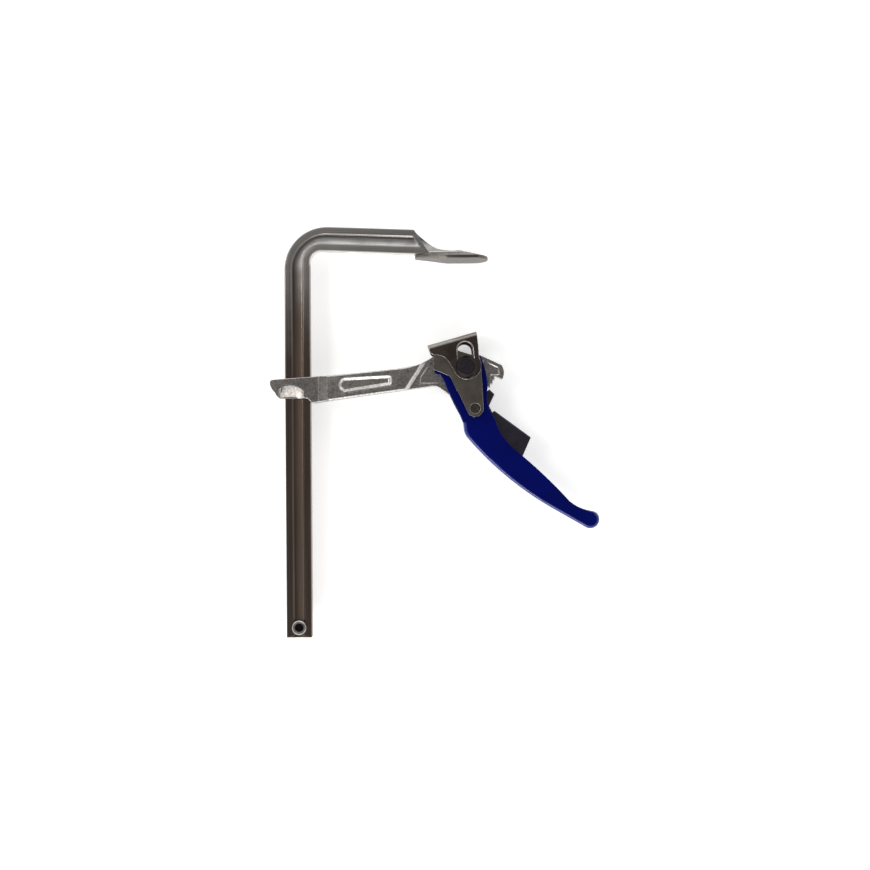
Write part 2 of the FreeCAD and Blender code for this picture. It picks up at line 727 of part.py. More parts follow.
def cam_plate():
    """The front plate, flat on the lever's cheek."""
    steps = [
        (cam_point(CAM_SWEEP_DEG / 2), cam_point(CAM_SWEEP_DEG)),
        off_pivot(-31.9, 9.7),
        (off_pivot(-32.8, 8.8), off_pivot(-33.1, 7.6)),
        off_pivot(-33.1, -1.6),
        (off_pivot(-32.6, -2.8), off_pivot(-31.4, -2.9)),
        off_pivot(-17.4, -8.8),
        (off_pivot(-15.9, -10.0), off_pivot(-15.2, -11.4)),
        off_pivot(-10.5, -21.3),
        off_link(-14.9, 12.7),
        off_link(-8.0, -2.2),
        (polar(LINK, CAM_END_R, -100.0), polar(LINK, CAM_END_R, 2.0)),
        off_pivot(15.9, -27.9),
        off_pivot(15.2, -13.1),
        (off_pivot(14.4, -3.3), off_pivot(13.6, 6.6)),
        (off_pivot(10.4, 12.0), off_pivot(4.5, 12.1)),
        off_pivot(-7.3, 15.8),
        off_pivot(-9.6, 17.4),
    ]
    plate = slab(cam_point(0.0), steps, LEVER_OUT_Z, CAM_OUT_Z)
    head_low = CAM_OUT_Z - RIVET_SUNK - RIVET_HEAD_THICK
    holes = [
        disc(PIVOT, PIN_R + PIN_FIT, LEVER_OUT_Z, CAM_OUT_Z),
        disc(LINK, RIVET_R, LEVER_OUT_Z, CAM_OUT_Z),
        disc(LINK, RIVET_HEAD_R, head_low, CAM_OUT_Z),
    ]
    return plate.cut(holes)


def link_rivet():
    """Holds the cam plates to the lever and carries the pawl. Its heads are sunk and dished."""
    top = CAM_OUT_Z - RIVET_SUNK
    low = top - RIVET_HEAD_THICK
    head = disc(LINK, RIVET_HEAD_R, low, top)
    head = head.cut(cone(LINK, RIVET_R - 1.6, RIVET_HEAD_R - 0.6, top - 0.6, top + 0.01))
    return disc(LINK, RIVET_R, -low, low).fuse(both_sides(head)).removeSplitter()


def spacer(low, high):
    return disc(LINK, SPACER_R, low, high).cut(disc(LINK, RIVET_R, low, high))


# Pressure piece: a folded channel that rides on the pin in a slot

def pad_point(along, up):
    """A point given along the face and square to it, from the pivot."""
    square = pad_direction()
    return off_pivot(along * square[1] + up * square[0], -along * square[0] + up * square[1])


def pressure_piece():
    face = PAD_FACE_HEIGHT
    steps = [
        pad_point(19.1, face),
        pad_point(16.8, 17.2),
        pad_point(14.2, 5.0),
        (pad_point(0.0, -PAD_EYE_R), pad_point(-PAD_EYE_R, 0.4)),
        pad_point(-14.4, 4.8),
        pad_point(-16.1, 10.3),
        (pad_point(-18.3, 14.4), pad_point(-22.6, 17.9)),
        (pad_point(-25.2, 19.0), pad_point(-27.6, 19.8)),
        (pad_point(-29.8, 22.0), pad_point(-30.6, 25.7)),
    ]
    body = slab(pad_point(-31.4, face), steps, -PAD_OUT_Z, PAD_OUT_Z)
    square = pad_direction()

    def on_face(middle, edge):
        up = (middle.x - PIVOT[0]) * square[0] + (middle.y - PIVOT[1]) * square[1]
        return abs(up - face) < 0.01 and abs(abs(middle.z) - PAD_OUT_Z) < 0.01

    body = body.makeFillet(PAD_BEND_R, edges_where(body, on_face))
    roof = face - PAD_WEB_THICK
    corners = [pad_point(-FAR, roof), pad_point(FAR, roof), pad_point(FAR, -FAR), pad_point(-FAR, -FAR)]
    body = body.cut(slab(corners[0], corners[1:], -PAD_IN_Z, PAD_IN_Z))
    through = Part.Face(pin_slot_wire(0.0, -PAD_OUT_Z)).extrude(vec((0, 0), 2 * PAD_OUT_Z))
    mouth = pin_slot_wire(SLOT_COIN, PAD_OUT_Z)
    coin = Part.makeLoft([mouth, pin_slot_wire(0.0, PAD_OUT_Z - SLOT_COIN)], True, True)
    return body.cut([through, both_sides(coin)])


def pin_slot_wire(growth, z):
    """The slot that the pin slides in, grown by an amount, as a wire at one height."""
    lean_deg = 90.0 + PAD_TILT_DEG - SLOT_LEAN_DEG
    half = PIN_R + SLOT_CLEAR + growth
    high = polar(PIVOT, SLOT_ABOVE, lean_deg)
    low = polar(PIVOT, -SLOT_BELOW, lean_deg)
    steps = [
        polar(high, half, lean_deg + 90.0),
        (polar(high, half, lean_deg), polar(high, half, lean_deg - 90.0)),
        polar(low, half, lean_deg - 90.0),
        (polar(low, half, lean_deg + 180.0), polar(low, half, lean_deg + 90.0)),
    ]
    return outline(steps[-1][1], steps, z)


# Pawl and release trigger, which turn together about the link rivet

def trigger_rivets():
    return [off_link(16.0, -12.3), off_link(19.6, -18.9)]


def ratchet_pawl():
    inner_r = TOOTH_TIP_R + PAWL_TIP_CLEAR
    flank_end_deg = PAWL_FLANK_DEG - PAWL_NOSE_SPAN_DEG
    middle_deg = PAWL_FLANK_DEG - PAWL_NOSE_SPAN_DEG / 2
    start = polar(PIVOT, inner_r, PAWL_FLANK_DEG)
    steps = [
        polar(PIVOT, PAWL_OUTER_R, PAWL_FLANK_DEG),
        off_link(19.2, 13.0),
        off_link(14.2, 2.6),
        off_link(18.5, -6.0),
        off_link(34.0, -19.5),
        (off_link(33.8, -26.4), pawl_tail_edge()[1]),
        pawl_tail_edge()[0],
        (polar(LINK, PAWL_EYE_R, -150.0), polar(LINK, PAWL_EYE_R, 130.0)),
        polar(PIVOT, inner_r, flank_end_deg),
        (polar(PIVOT, inner_r, middle_deg), start),
    ]
    body = slab(start, steps, -PAWL_Z, PAWL_Z)
    holes = [disc(LINK, RIVET_R + PAWL_BORE_FIT, -PAWL_Z, PAWL_Z)]
    holes += [disc(centre, TRIGGER_RIVET_R, -PAWL_Z, PAWL_Z) for centre in trigger_rivets()]
    return body.cut(holes)


def release_trigger():
    """A pressed channel over the pawl's tail. Its closed back is the edge that the finger pulls."""
    root_low = off_link(16.5, -4.9)
    root_high = off_link(19.5, -2.2)
    end_high = off_link(55.6, -29.0)
    end_low = off_link(46.0, -50.5)
    steps = [
        root_high,
        end_high,
        end_low,
        off_link(38.0, -44.5),
        off_link(15.0, -23.5),
        off_link(12.0, -14.0),
    ]
    body = slab(root_low, steps, -TRIGGER_Z, TRIGGER_Z)
    run = (end_high[0] - root_high[0], end_high[1] - root_high[1])
    length = math.hypot(*run)
    inward = (run[1] / length, -run[0] / length)

    def drawn_in(point, depth):
        return (point[0] + inward[0] * depth, point[1] + inward[1] * depth)

    def on_back(middle, edge):
        offset = (middle.x - root_high[0]) * inward[0] + (middle.y - root_high[1]) * inward[1]
        return abs(offset) < 0.01 and abs(abs(middle.z) - TRIGGER_Z) < 0.01

    body = body.makeFillet(TRIGGER_EDGE_R, edges_where(body, on_back))
    before = (root_high[0] - run[0], root_high[1] - run[1])
    after = (end_high[0] + run[0], end_high[1] + run[1])
    hollow = [
        drawn_in(before, TRIGGER_SHEET),
        drawn_in(after, TRIGGER_SHEET),
        drawn_in(after, FAR),
        drawn_in(before, FAR),
    ]
    body = body.cut(slab(hollow[0], hollow[1:], -PAWL_Z, PAWL_Z))
    return body.cut([disc(centre, TRIGGER_RIVET_R, -TRIGGER_Z, TRIGGER_Z) for centre in trigger_rivets()])


def trigger_rivet(centre):
    top = TRIGGER_Z + TRIGGER_RIVET_HEAD_THICK
    head = disc(centre, TRIGGER_RIVET_HEAD_R, TRIGGER_Z, top)
    return disc(centre, TRIGGER_RIVET_R, -TRIGGER_Z, TRIGGER_Z).fuse(both_sides(head)).removeSplitter()


def pawl_tail_edge():
    """The lower edge of the pawl's tail, which the spring pushes."""
    return off_link(6.0, -11.5), off_link(27.0, -28.4)


def pawl_spring():
    """A torsion spring round the front spacer: one leg on the handle's back, one under the pawl's tail."""
    coil_r = SPACER_R + SPRING_COIL_CLEAR + SPRING_WIRE_R
    low = PAWL_Z + SPACER_FACE_GAP + SPRING_WIRE_R + SPRING_COIL_CLEAR
    start, end = pawl_tail_edge()
    length = math.dist(start, end)
    edge = ((end[0] - start[0]) / length, (end[1] - start[1]) / length)
    stand = SPRING_WIRE_R + SPRING_SEAT_GAP
    hook = (
        start[0] + edge[0] * SPRING_HOOK_ALONG + edge[1] * stand,
        start[1] + edge[1] * SPRING_HOOK_ALONG - edge[0] * stand,
    )
    to_hook = (hook[0] - LINK[0], hook[1] - LINK[1])
    hook_deg = math.degrees(math.atan2(to_hook[1], to_hook[0]))
    leave_deg = hook_deg + math.degrees(math.acos(coil_r / math.hypot(*to_hook)))
    turned_deg = 180.0 - leave_deg + 360.0
    pitch = 2 * SPRING_WIRE_R + SPRING_TURN_GAP
    rise = pitch * turned_deg / 360.0

    coil = Part.makeHelix(pitch, rise, coil_r, 0, True)
    coil.rotate(vec((0, 0)), FreeCAD.Vector(0, 0, 1), 180.0)
    coil.translate(vec(LINK, low))
    back_end = (LINK[0] - coil_r, LINK[1] - SPRING_BACK_LEG)
    leave = polar(LINK, coil_r, leave_deg)
    back_leg = Part.makeLine(vec(back_end, low), vec((LINK[0] - coil_r, LINK[1]), low))
    pawl_leg = Part.makeLine(vec(leave, low + rise), vec(hook, low + rise))
    path = Part.Wire([back_leg] + coil.Edges + [pawl_leg])
    section = []
    for side in range(SPRING_WIRE_SIDES + 1):
        across = polar((back_end[0], low), SPRING_WIRE_R, (side + 0.5) * 360.0 / SPRING_WIRE_SIDES)
        section.append(FreeCAD.Vector(across[0], back_end[1], across[1]))
    wire = path.makePipeShell([Part.makePolygon(section)], True, True)
    return wire.fuse(disc(hook, SPRING_WIRE_R, -PAWL_Z, low + rise + SPRING_WIRE_R))


def main():
    os.makedirs("parts", exist_ok=True)
    save("fixed_bar", fixed_bar())
    save("end_stop_pin", end_stop_pin())
    save("sliding_arm", sliding_arm())
    save("pivot_pin", pivot_pin())
    save("pivot_washer", pivot_washer())
    save("lever", lever())
    front_cam = cam_plate()
    save("cam_plate_front", front_cam)
    save("cam_plate_rear", front_cam.mirror(vec((0, 0)), FreeCAD.Vector(0, 0, 1)))
    save("link_rivet", link_rivet())
    spacer_low = PAWL_Z + SPACER_FACE_GAP
    save("pawl_spacer_front", spacer(spacer_low, LEVER_IN_Z))
    save("pawl_spacer_rear", spacer(-LEVER_IN_Z, -spacer_low))
    save("pawl_spring", pawl_spring())
    save("pressure_piece", pressure_piece())
    save("ratchet_pawl", ratchet_pawl())
    save("release_trigger", release_trigger())
    for place, centre in zip(("upper", "lower"), trigger_rivets()):
        save(f"trigger_rivet_{place}", trigger_rivet(centre))


main()
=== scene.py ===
# %% [markdown]
# # A ratchet-lever bar clamp
# This lesson dresses a steel clamp that already exists as a mechanical model. The model gives the true
# sizes and says which pieces move together. Here each piece gets rounded edges, a finish and light.
#
# The first cell loads the model. Every piece lies in one shared frame, in metres: +X points away from
# the rail, +Y points up the rail and +Z points at the camera. The origin is on the fixed jaw's face.

import json
import math

import bmesh
import bpy
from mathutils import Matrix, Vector


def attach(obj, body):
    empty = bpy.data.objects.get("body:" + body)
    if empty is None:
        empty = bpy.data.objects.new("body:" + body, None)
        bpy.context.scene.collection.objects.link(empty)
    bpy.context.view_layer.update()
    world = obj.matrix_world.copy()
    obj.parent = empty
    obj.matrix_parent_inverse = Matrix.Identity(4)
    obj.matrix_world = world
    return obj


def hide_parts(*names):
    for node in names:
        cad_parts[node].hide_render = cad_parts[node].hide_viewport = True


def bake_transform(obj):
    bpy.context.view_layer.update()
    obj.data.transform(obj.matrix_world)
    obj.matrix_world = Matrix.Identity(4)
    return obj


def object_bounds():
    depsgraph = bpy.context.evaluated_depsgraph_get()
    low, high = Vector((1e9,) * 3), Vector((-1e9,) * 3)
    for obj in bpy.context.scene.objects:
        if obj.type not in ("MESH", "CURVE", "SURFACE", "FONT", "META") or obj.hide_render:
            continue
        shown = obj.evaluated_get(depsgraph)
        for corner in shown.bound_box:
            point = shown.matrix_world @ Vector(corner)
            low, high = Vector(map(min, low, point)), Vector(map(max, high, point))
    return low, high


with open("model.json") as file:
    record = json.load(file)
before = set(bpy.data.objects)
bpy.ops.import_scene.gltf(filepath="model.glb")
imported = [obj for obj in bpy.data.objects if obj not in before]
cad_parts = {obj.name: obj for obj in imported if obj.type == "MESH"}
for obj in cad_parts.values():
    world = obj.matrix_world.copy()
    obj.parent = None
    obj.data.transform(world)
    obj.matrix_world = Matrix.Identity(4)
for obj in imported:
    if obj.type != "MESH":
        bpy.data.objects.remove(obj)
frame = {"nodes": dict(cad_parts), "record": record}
cad_box = [list(corner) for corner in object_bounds()]
record = frame["record"]
body_of_node = {name: body for body, names in record["behaviour"]["bodies"].items() for name in names}
print("nodes", len(frame["nodes"]), "box", cad_box)

# %% [markdown]
# ## Small tools
# Blender stores colours as linear light, but people pick them as sRGB hex values, so one function turns
# one into the other. Patterns such as grain need a scale: a noise texture's scale is the number of
# features in a metre, so it is worked out from the real size of one feature in millimetres.
#
# A material or a shape is a tree of nodes. Adding a node is always the same work, so one function adds
# any node, sets its options, and fills or links its sockets. A Mix node has sockets for each kind of
# value: it takes two colours in sockets 6 and 7, and their mixture comes out of output 2.

# %% Helpers
MM = 0.001


def linear(hex_text):
    """A linear colour with alpha, from an sRGB hex value."""
    parts = [int(hex_text[i:i + 2], 16) / 255.0 for i in (1, 3, 5)]
    return tuple(v / 12.92 if v <= 0.04045 else ((v + 0.055) / 1.055) ** 2.4 for v in parts) + (1.0,)


def per_mm(size):
    """Texture scale at which one feature is this many millimetres wide."""
    return 1.0 / (size * MM)


def add(tree, kind, sockets=None, **settings):
    """Adds one node. A socket's value is a number, a colour or another node's output."""
    made = tree.nodes.new(kind)
    for name, value in settings.items():
        setattr(made, name, value)
    for key, value in (sockets or {}).items():
        if isinstance(value, bpy.types.NodeSocket):
            tree.links.new(value, made.inputs[key])
        else:
            made.inputs[key].default_value = value
    return made


MIX_A = 6
MIX_B = 7
MIX_RESULT = 2


def new_material(name):
    """An empty material: its tree, its shader, and Object coordinates to place patterns by."""
    material = bpy.data.materials.new(name)
    material.use_nodes = True
    tree = material.node_tree
    tree.nodes.clear()
    shader = add(tree, "ShaderNodeBsdfPrincipled")
    add(tree, "ShaderNodeOutputMaterial", {"Surface": shader.outputs["BSDF"]})
    place = add(tree, "ShaderNodeTexCoord").outputs["Object"]
    return material, tree, shader, place


# %% [markdown]
# ## Camera
# The photograph looks straight down on the clamp, which lies on a white table. A lens close to normal at
# one metre gives the small amount of perspective that shows the sides of the rail and of the pin.

# %% Camera
CAMERA_HEIGHT = 1.0
CAMERA_OVER = (-18.17 * MM, -174.09 * MM)
CAMERA_TURN_DEG = -0.386
SENSOR_MM = 36.0
HALF_VIEW = 0.435

camera_data = bpy.data.cameras.new("camera")
camera_data.sensor_fit = "HORIZONTAL"
camera_data.sensor_width = SENSOR_MM
camera_data.lens = SENSOR_MM / 2 * CAMERA_HEIGHT / HALF_VIEW
camera = bpy.data.objects.new("camera", camera_data)
camera.location = (CAMERA_OVER[0], CAMERA_OVER[1], CAMERA_HEIGHT)
camera.rotation_euler = (0.0, 0.0, math.radians(CAMERA_TURN_DEG))
bpy.context.scene.collection.objects.link(camera)
bpy.context.scene.camera = camera
print("lens", round(camera_data.lens, 2), "mm")

# %% [markdown]
# ## Table and light
# The table is plain and white. A pale floor that is lit to full white would need more light than the
# object can take, so the camera, and the metal in its reflections, see a little glow added to the floor,
# and every other ray sees only its plain colour. The shadow still shows, because it is in the lit part.

# %% Floor
FLOOR_DROP = 0.3 * MM
FLOOR_SIZE = 8.0
TABLE_GLOW = 0.5


def table_top():
    material, tree, shader, place = new_material("white table")
    path = add(tree, "ShaderNodeLightPath")
    seen = add(tree, "ShaderNodeMath", {0: path.outputs["Is Camera Ray"], 1: path.outputs["Is Glossy Ray"]},
               operation="MAXIMUM")
    glow = add(tree, "ShaderNodeMath", {0: seen.outputs[0], 1: TABLE_GLOW}, operation="MULTIPLY")
    shader.inputs["Base Color"].default_value = linear("#F4F4F3")
    shader.inputs["Roughness"].default_value = 0.9
    shader.inputs["Specular IOR Level"].default_value = 0.0
    shader.inputs["Emission Color"].default_value = (1.0, 1.0, 1.0, 1.0)
    tree.links.new(glow.outputs[0], shader.inputs["Emission Strength"])
    return material


floor_mesh = bpy.data.meshes.new("table")
half = FLOOR_SIZE / 2
floor_z = cad_box[0][2] - FLOOR_DROP
floor_mesh.from_pydata(
    [(-half, -half, floor_z), (half, -half, floor_z), (half, half, floor_z), (-half, half, floor_z)],
    [],
    [(0, 1, 2, 3)],
)
floor = bpy.data.objects.new("table", floor_mesh)
bpy.context.scene.collection.objects.link(floor)
floor.data.materials.append(table_top())

# %% [markdown]
# Metal shows what is around it. In a photographer's light tent the walls are bright and the opening
# above, where the camera looks in, is darker, so flat steel that faces the camera looks dark and every
# slanted edge looks bright. The world is painted like that: dark overhead and bright near the horizon.
# Its walls beyond the jaws and below the handle are the brightest, and those at the sides are dimmer.

# %% World
OVERHEAD = 0.22
HORIZON = 1.45
SIDE_SHARE = 0.5
SIDE_UP_TO = 0.15
END_FROM = 0.75
WALL_TOP = 0.45
OPENING_EDGE = 0.9


def light_tent():
    world = bpy.data.worlds.new("light tent")
    world.use_nodes = True
    tree = world.node_tree
    tree.nodes.clear()
    direction = add(tree, "ShaderNodeTexCoord").outputs["Generated"]
    axes = add(tree, "ShaderNodeSeparateXYZ", {0: direction}).outputs
    endways = add(tree, "ShaderNodeMath", {0: axes["Y"]}, operation="ABSOLUTE")
    wall = add(tree, "ShaderNodeMapRange", {"Value": endways.outputs[0], "From Min": SIDE_UP_TO,
                                            "From Max": END_FROM, "To Min": HORIZON * SIDE_SHARE,
                                            "To Max": HORIZON}, interpolation_type="SMOOTHSTEP")
    level = add(tree, "ShaderNodeMapRange", {"Value": axes["Z"], "From Min": WALL_TOP,
                                             "From Max": OPENING_EDGE, "To Min": wall.outputs[0],
                                             "To Max": OVERHEAD}, interpolation_type="SMOOTHSTEP")
    path = add(tree, "ShaderNodeLightPath")
    strength = add(tree, "ShaderNodeMix", {0: path.outputs["Is Camera Ray"], 2: level.outputs[0], 3: 1.0})
    background = add(tree, "ShaderNodeBackground", {"Strength": strength.outputs[0]})
    background.inputs["Color"].default_value = linear("#FFFFFF")
    add(tree, "ShaderNodeOutputWorld", {"Surface": background.outputs[0]})
    bpy.context.scene.world = world


light_tent()

# %% [markdown]
# One large soft lamp at the upper left gives the shadow its direction. A long narrow one low on the left
# draws the bright line along the folded back of the handle.

# %% Lamps
LAMP_AIM = Vector((0.0, -0.15, 0.0))


def soft_lamp(name, place, width, height, watts):
    data = bpy.data.lights.new(name, "AREA")
    data.shape = "RECTANGLE"
    data.size = width
    data.size_y = height
    data.energy = watts
    lamp = bpy.data.objects.new(name, data)
    lamp.location = place
    lamp.rotation_euler = (LAMP_AIM - Vector(place)).to_track_quat("-Z", "Y").to_euler()
    bpy.context.scene.collection.objects.link(lamp)


soft_lamp("key lamp", (-1.0, 0.15, 1.1), 0.35, 0.35, 3.4)
soft_lamp("low strip", (-0.55, -1.15, 0.5), 0.9, 0.25, 5.0)
bpy.context.scene.view_settings.view_transform = "Standard"

# %% [markdown]
# ## Steel finishes
# Every piece but the lever is bare or darkened steel, so all of them are metals, and what tells them
# apart is how the surface was made. A metal's base colour is its mirror colour. Grain comes from bump,
# which tips the mirror a little, so that each grain catches a different part of the room.
#
# The sliding arm is forged and then shot blasted: grey, fine grained, evenly dull.

# %% Shot-blasted forging
NECK_FACE = 9.5 * MM
COLLAR_FACE = 12.5 * MM
COLLAR_SHARE = 0.74
GRAIN_LOW = 0.5
GRAIN_HIGH = 0.85


def blasted_forging():
    """Drop-forged steel, shot blasted: dull grey with a fine grain. The grain is drawn coarse to show."""
    material, tree, shader, place = new_material("shot-blasted forged steel")
    grain = add(tree, "ShaderNodeTexNoise", {"Vector": place, "Scale": per_mm(1.6), "Detail": 4.0,
                                             "Roughness": 0.75})
    patch = add(tree, "ShaderNodeTexNoise", {"Vector": place, "Scale": per_mm(4.5), "Detail": 2.0})
    both = add(tree, "ShaderNodeMath", {0: patch.outputs["Fac"], 1: 0.35, 2: grain.outputs["Fac"]},
               operation="MULTIPLY_ADD")
    spread = add(tree, "ShaderNodeMapRange", {"Value": both.outputs[0], "From Min": GRAIN_LOW,
                                              "From Max": GRAIN_HIGH})
    colour = add(tree, "ShaderNodeMix", {0: spread.outputs[0], MIX_A: linear("#7C7570"),
                                         MIX_B: linear("#BFBAB5")}, data_type="RGBA")
    depth = add(tree, "ShaderNodeSeparateXYZ", {0: place}).outputs["Z"]
    height = add(tree, "ShaderNodeMath", {0: depth}, operation="ABSOLUTE")
    share = add(tree, "ShaderNodeMapRange", {"Value": height.outputs[0], "From Min": NECK_FACE,
                                             "From Max": COLLAR_FACE, "To Min": 1.0,
                                             "To Max": COLLAR_SHARE})
    shaded = add(tree, "ShaderNodeVectorMath", {0: colour.outputs[MIX_RESULT], "Scale": share.outputs[0]},
                 operation="SCALE")
    rough = add(tree, "ShaderNodeMapRange", {"Value": both.outputs[0], "From Min": GRAIN_LOW,
                                             "From Max": GRAIN_HIGH, "To Min": 0.38, "To Max": 0.28})
    bump = add(tree, "ShaderNodeBump", {"Height": grain.outputs["Fac"], "Strength": 0.8,
                                        "Distance": 0.3 * MM})
    shader.inputs["Metallic"].default_value = 1.0
    tree.links.new(shaded.outputs[0], shader.inputs["Base Color"])
    tree.links.new(rough.outputs[0], shader.inputs["Roughness"])
    tree.links.new(bump.outputs[0], shader.inputs["Normal"])
    return material


# %% [markdown]
# Wherever steel rubs or is sheared, its skin is gone and bare bright metal shows. That is most of what
# makes a used steel tool look real, so each rounded edge gets a finish of its own. The same kind of
# finish, made lighter, paints a sheen on the sliding arm's slopes.

# %% Rubbed edges


def rubbed_edge_and_sheen(name, dark, light, roughness):
    """Bare steel along an edge, polished by handling: bright, with small nicks. It also paints a sheen on
    slopes.
    """
    material, tree, shader, place = new_material(name)
    nick = add(tree, "ShaderNodeTexNoise", {"Vector": place, "Scale": per_mm(2.2), "Detail": 3.0,
                                            "Roughness": 0.7})
    spread = add(tree, "ShaderNodeMapRange", {"Value": nick.outputs["Fac"], "From Min": 0.38,
                                              "From Max": 0.56})
    colour = add(tree, "ShaderNodeMix", {0: spread.outputs[0], MIX_A: linear(dark), MIX_B: linear(light)},
                 data_type="RGBA")
    shader.inputs["Metallic"].default_value = 1.0
    shader.inputs["Roughness"].default_value = roughness
    tree.links.new(colour.outputs[MIX_RESULT], shader.inputs["Base Color"])
    return material


# %% [markdown]
# The rail is drawn steel with a brown skin from rolling and oil. Its streaks follow the bar round the
# bend, so they can't be laid along an axis. Instead the material measures how far each point lies from
# the bar's outer edge: along a straight side that is one coordinate, and round the bend it is the radius
# less the distance from the bend's centre. Taking the larger of each coordinate and zero joins the three
# cases in one length. Towards the bend the bar was heated and blasted, and its brown turns to grey.

# %% Measures of the rail
BEND_CENTRE = (-124.5 * MM, -13.5 * MM)
BEND_RADIUS = 42.5 * MM
BRIDGE_FALL = math.tan(math.radians(2.2))
BROWN_ENDS_Y = -70.0 * MM
GREY_STARTS_Y = 45.0 * MM
GROOVE_FLOOR = 4.75 * MM
FLANGE_TOP = 5.9 * MM
GROOVE_FROM = 9.0 * MM
GROOVE_TO = 15.5 * MM
INNER_SIDE_FROM = 24.0 * MM
INNER_SIDE_TO = 24.8 * MM
# These shares paint shade: each is the part of its colour that the groove's walls or the bar's inner side
# keep.
GREY_SIDE_SHARE = 0.3
GREY_WALL_SHARE = 0.28
INNER_WALL_SHARE = 0.3
ALONG_SHARE = 0.02
BROWN_WANDER = 50.0 * MM
FLOOR_LAG = 3.0
STREAKS_ON_FLOOR = 0.8
DRAWN_ROUGH = 0.3
BLASTED_ROUGH = 0.5


def from_outer_edge(tree, place):
    """How far a point of the bar lies from the bar's outer edge, in metres."""
    axes = add(tree, "ShaderNodeSeparateXYZ", {0: place}).outputs
    level = add(tree, "ShaderNodeMath", {0: axes["X"], 1: BRIDGE_FALL, 2: axes["Y"]},
                operation="MULTIPLY_ADD")
    left = add(tree, "ShaderNodeMath", {0: BEND_CENTRE[0], 1: axes["X"]}, operation="SUBTRACT")
    above = add(tree, "ShaderNodeMath", {0: level.outputs[0], 1: BEND_CENTRE[1]}, operation="SUBTRACT")
    reach = add(tree, "ShaderNodeCombineXYZ", {0: left.outputs[0], 1: above.outputs[0]})
    outward = add(tree, "ShaderNodeVectorMath", {0: reach.outputs[0], 1: (0.0, 0.0, 0.0)},
                  operation="MAXIMUM")
    radius = add(tree, "ShaderNodeVectorMath", {0: outward.outputs[0]}, operation="LENGTH")
    return add(tree, "ShaderNodeMath", {0: BEND_RADIUS, 1: radius.outputs["Value"]}, operation="SUBTRACT")


# %% [markdown]
# The steep walls of the groove and the bar's inner side are darkened with painted shade, so a wall or a
# side keeps only a share of the colour beside it. One range finds the walls: it runs from the groove's
# floor to the flange, and the walls are halfway.

# %% Painted shade on the walls and the inner side


def painted_shade_share(tree, across, forged, hollow, in_groove):
    """The share of its colour that each point keeps, where painted shade darkens the walls and the inner
    side.
    """
    wall = add(tree, "ShaderNodeMath", {0: in_groove.outputs[0], 1: 0.5}, operation="PINGPONG")
    on_outer = add(tree, "ShaderNodeMix", {0: forged.outputs[0], 2: 1.0, 3: GREY_WALL_SHARE})
    on_wall = add(tree, "ShaderNodeMix", {0: hollow.outputs[0], 2: on_outer.outputs[0],
                                          3: INNER_WALL_SHARE})
    on_inner = add(tree, "ShaderNodeMix", {0: forged.outputs[0], 2: 1.0, 3: GREY_SIDE_SHARE})
    on_side = add(tree, "ShaderNodeMapRange", {"Value": across.outputs[0], "From Min": INNER_SIDE_FROM,
                                               "From Max": INNER_SIDE_TO, "To Min": 1.0,
                                               "To Max": on_inner.outputs[0]})
    return add(tree, "ShaderNodeMapRange", {"Value": wall.outputs[0], "From Min": 0.0, "From Max": 0.5,
                                            "To Min": on_side.outputs[0], "To Max": on_wall.outputs[0]})
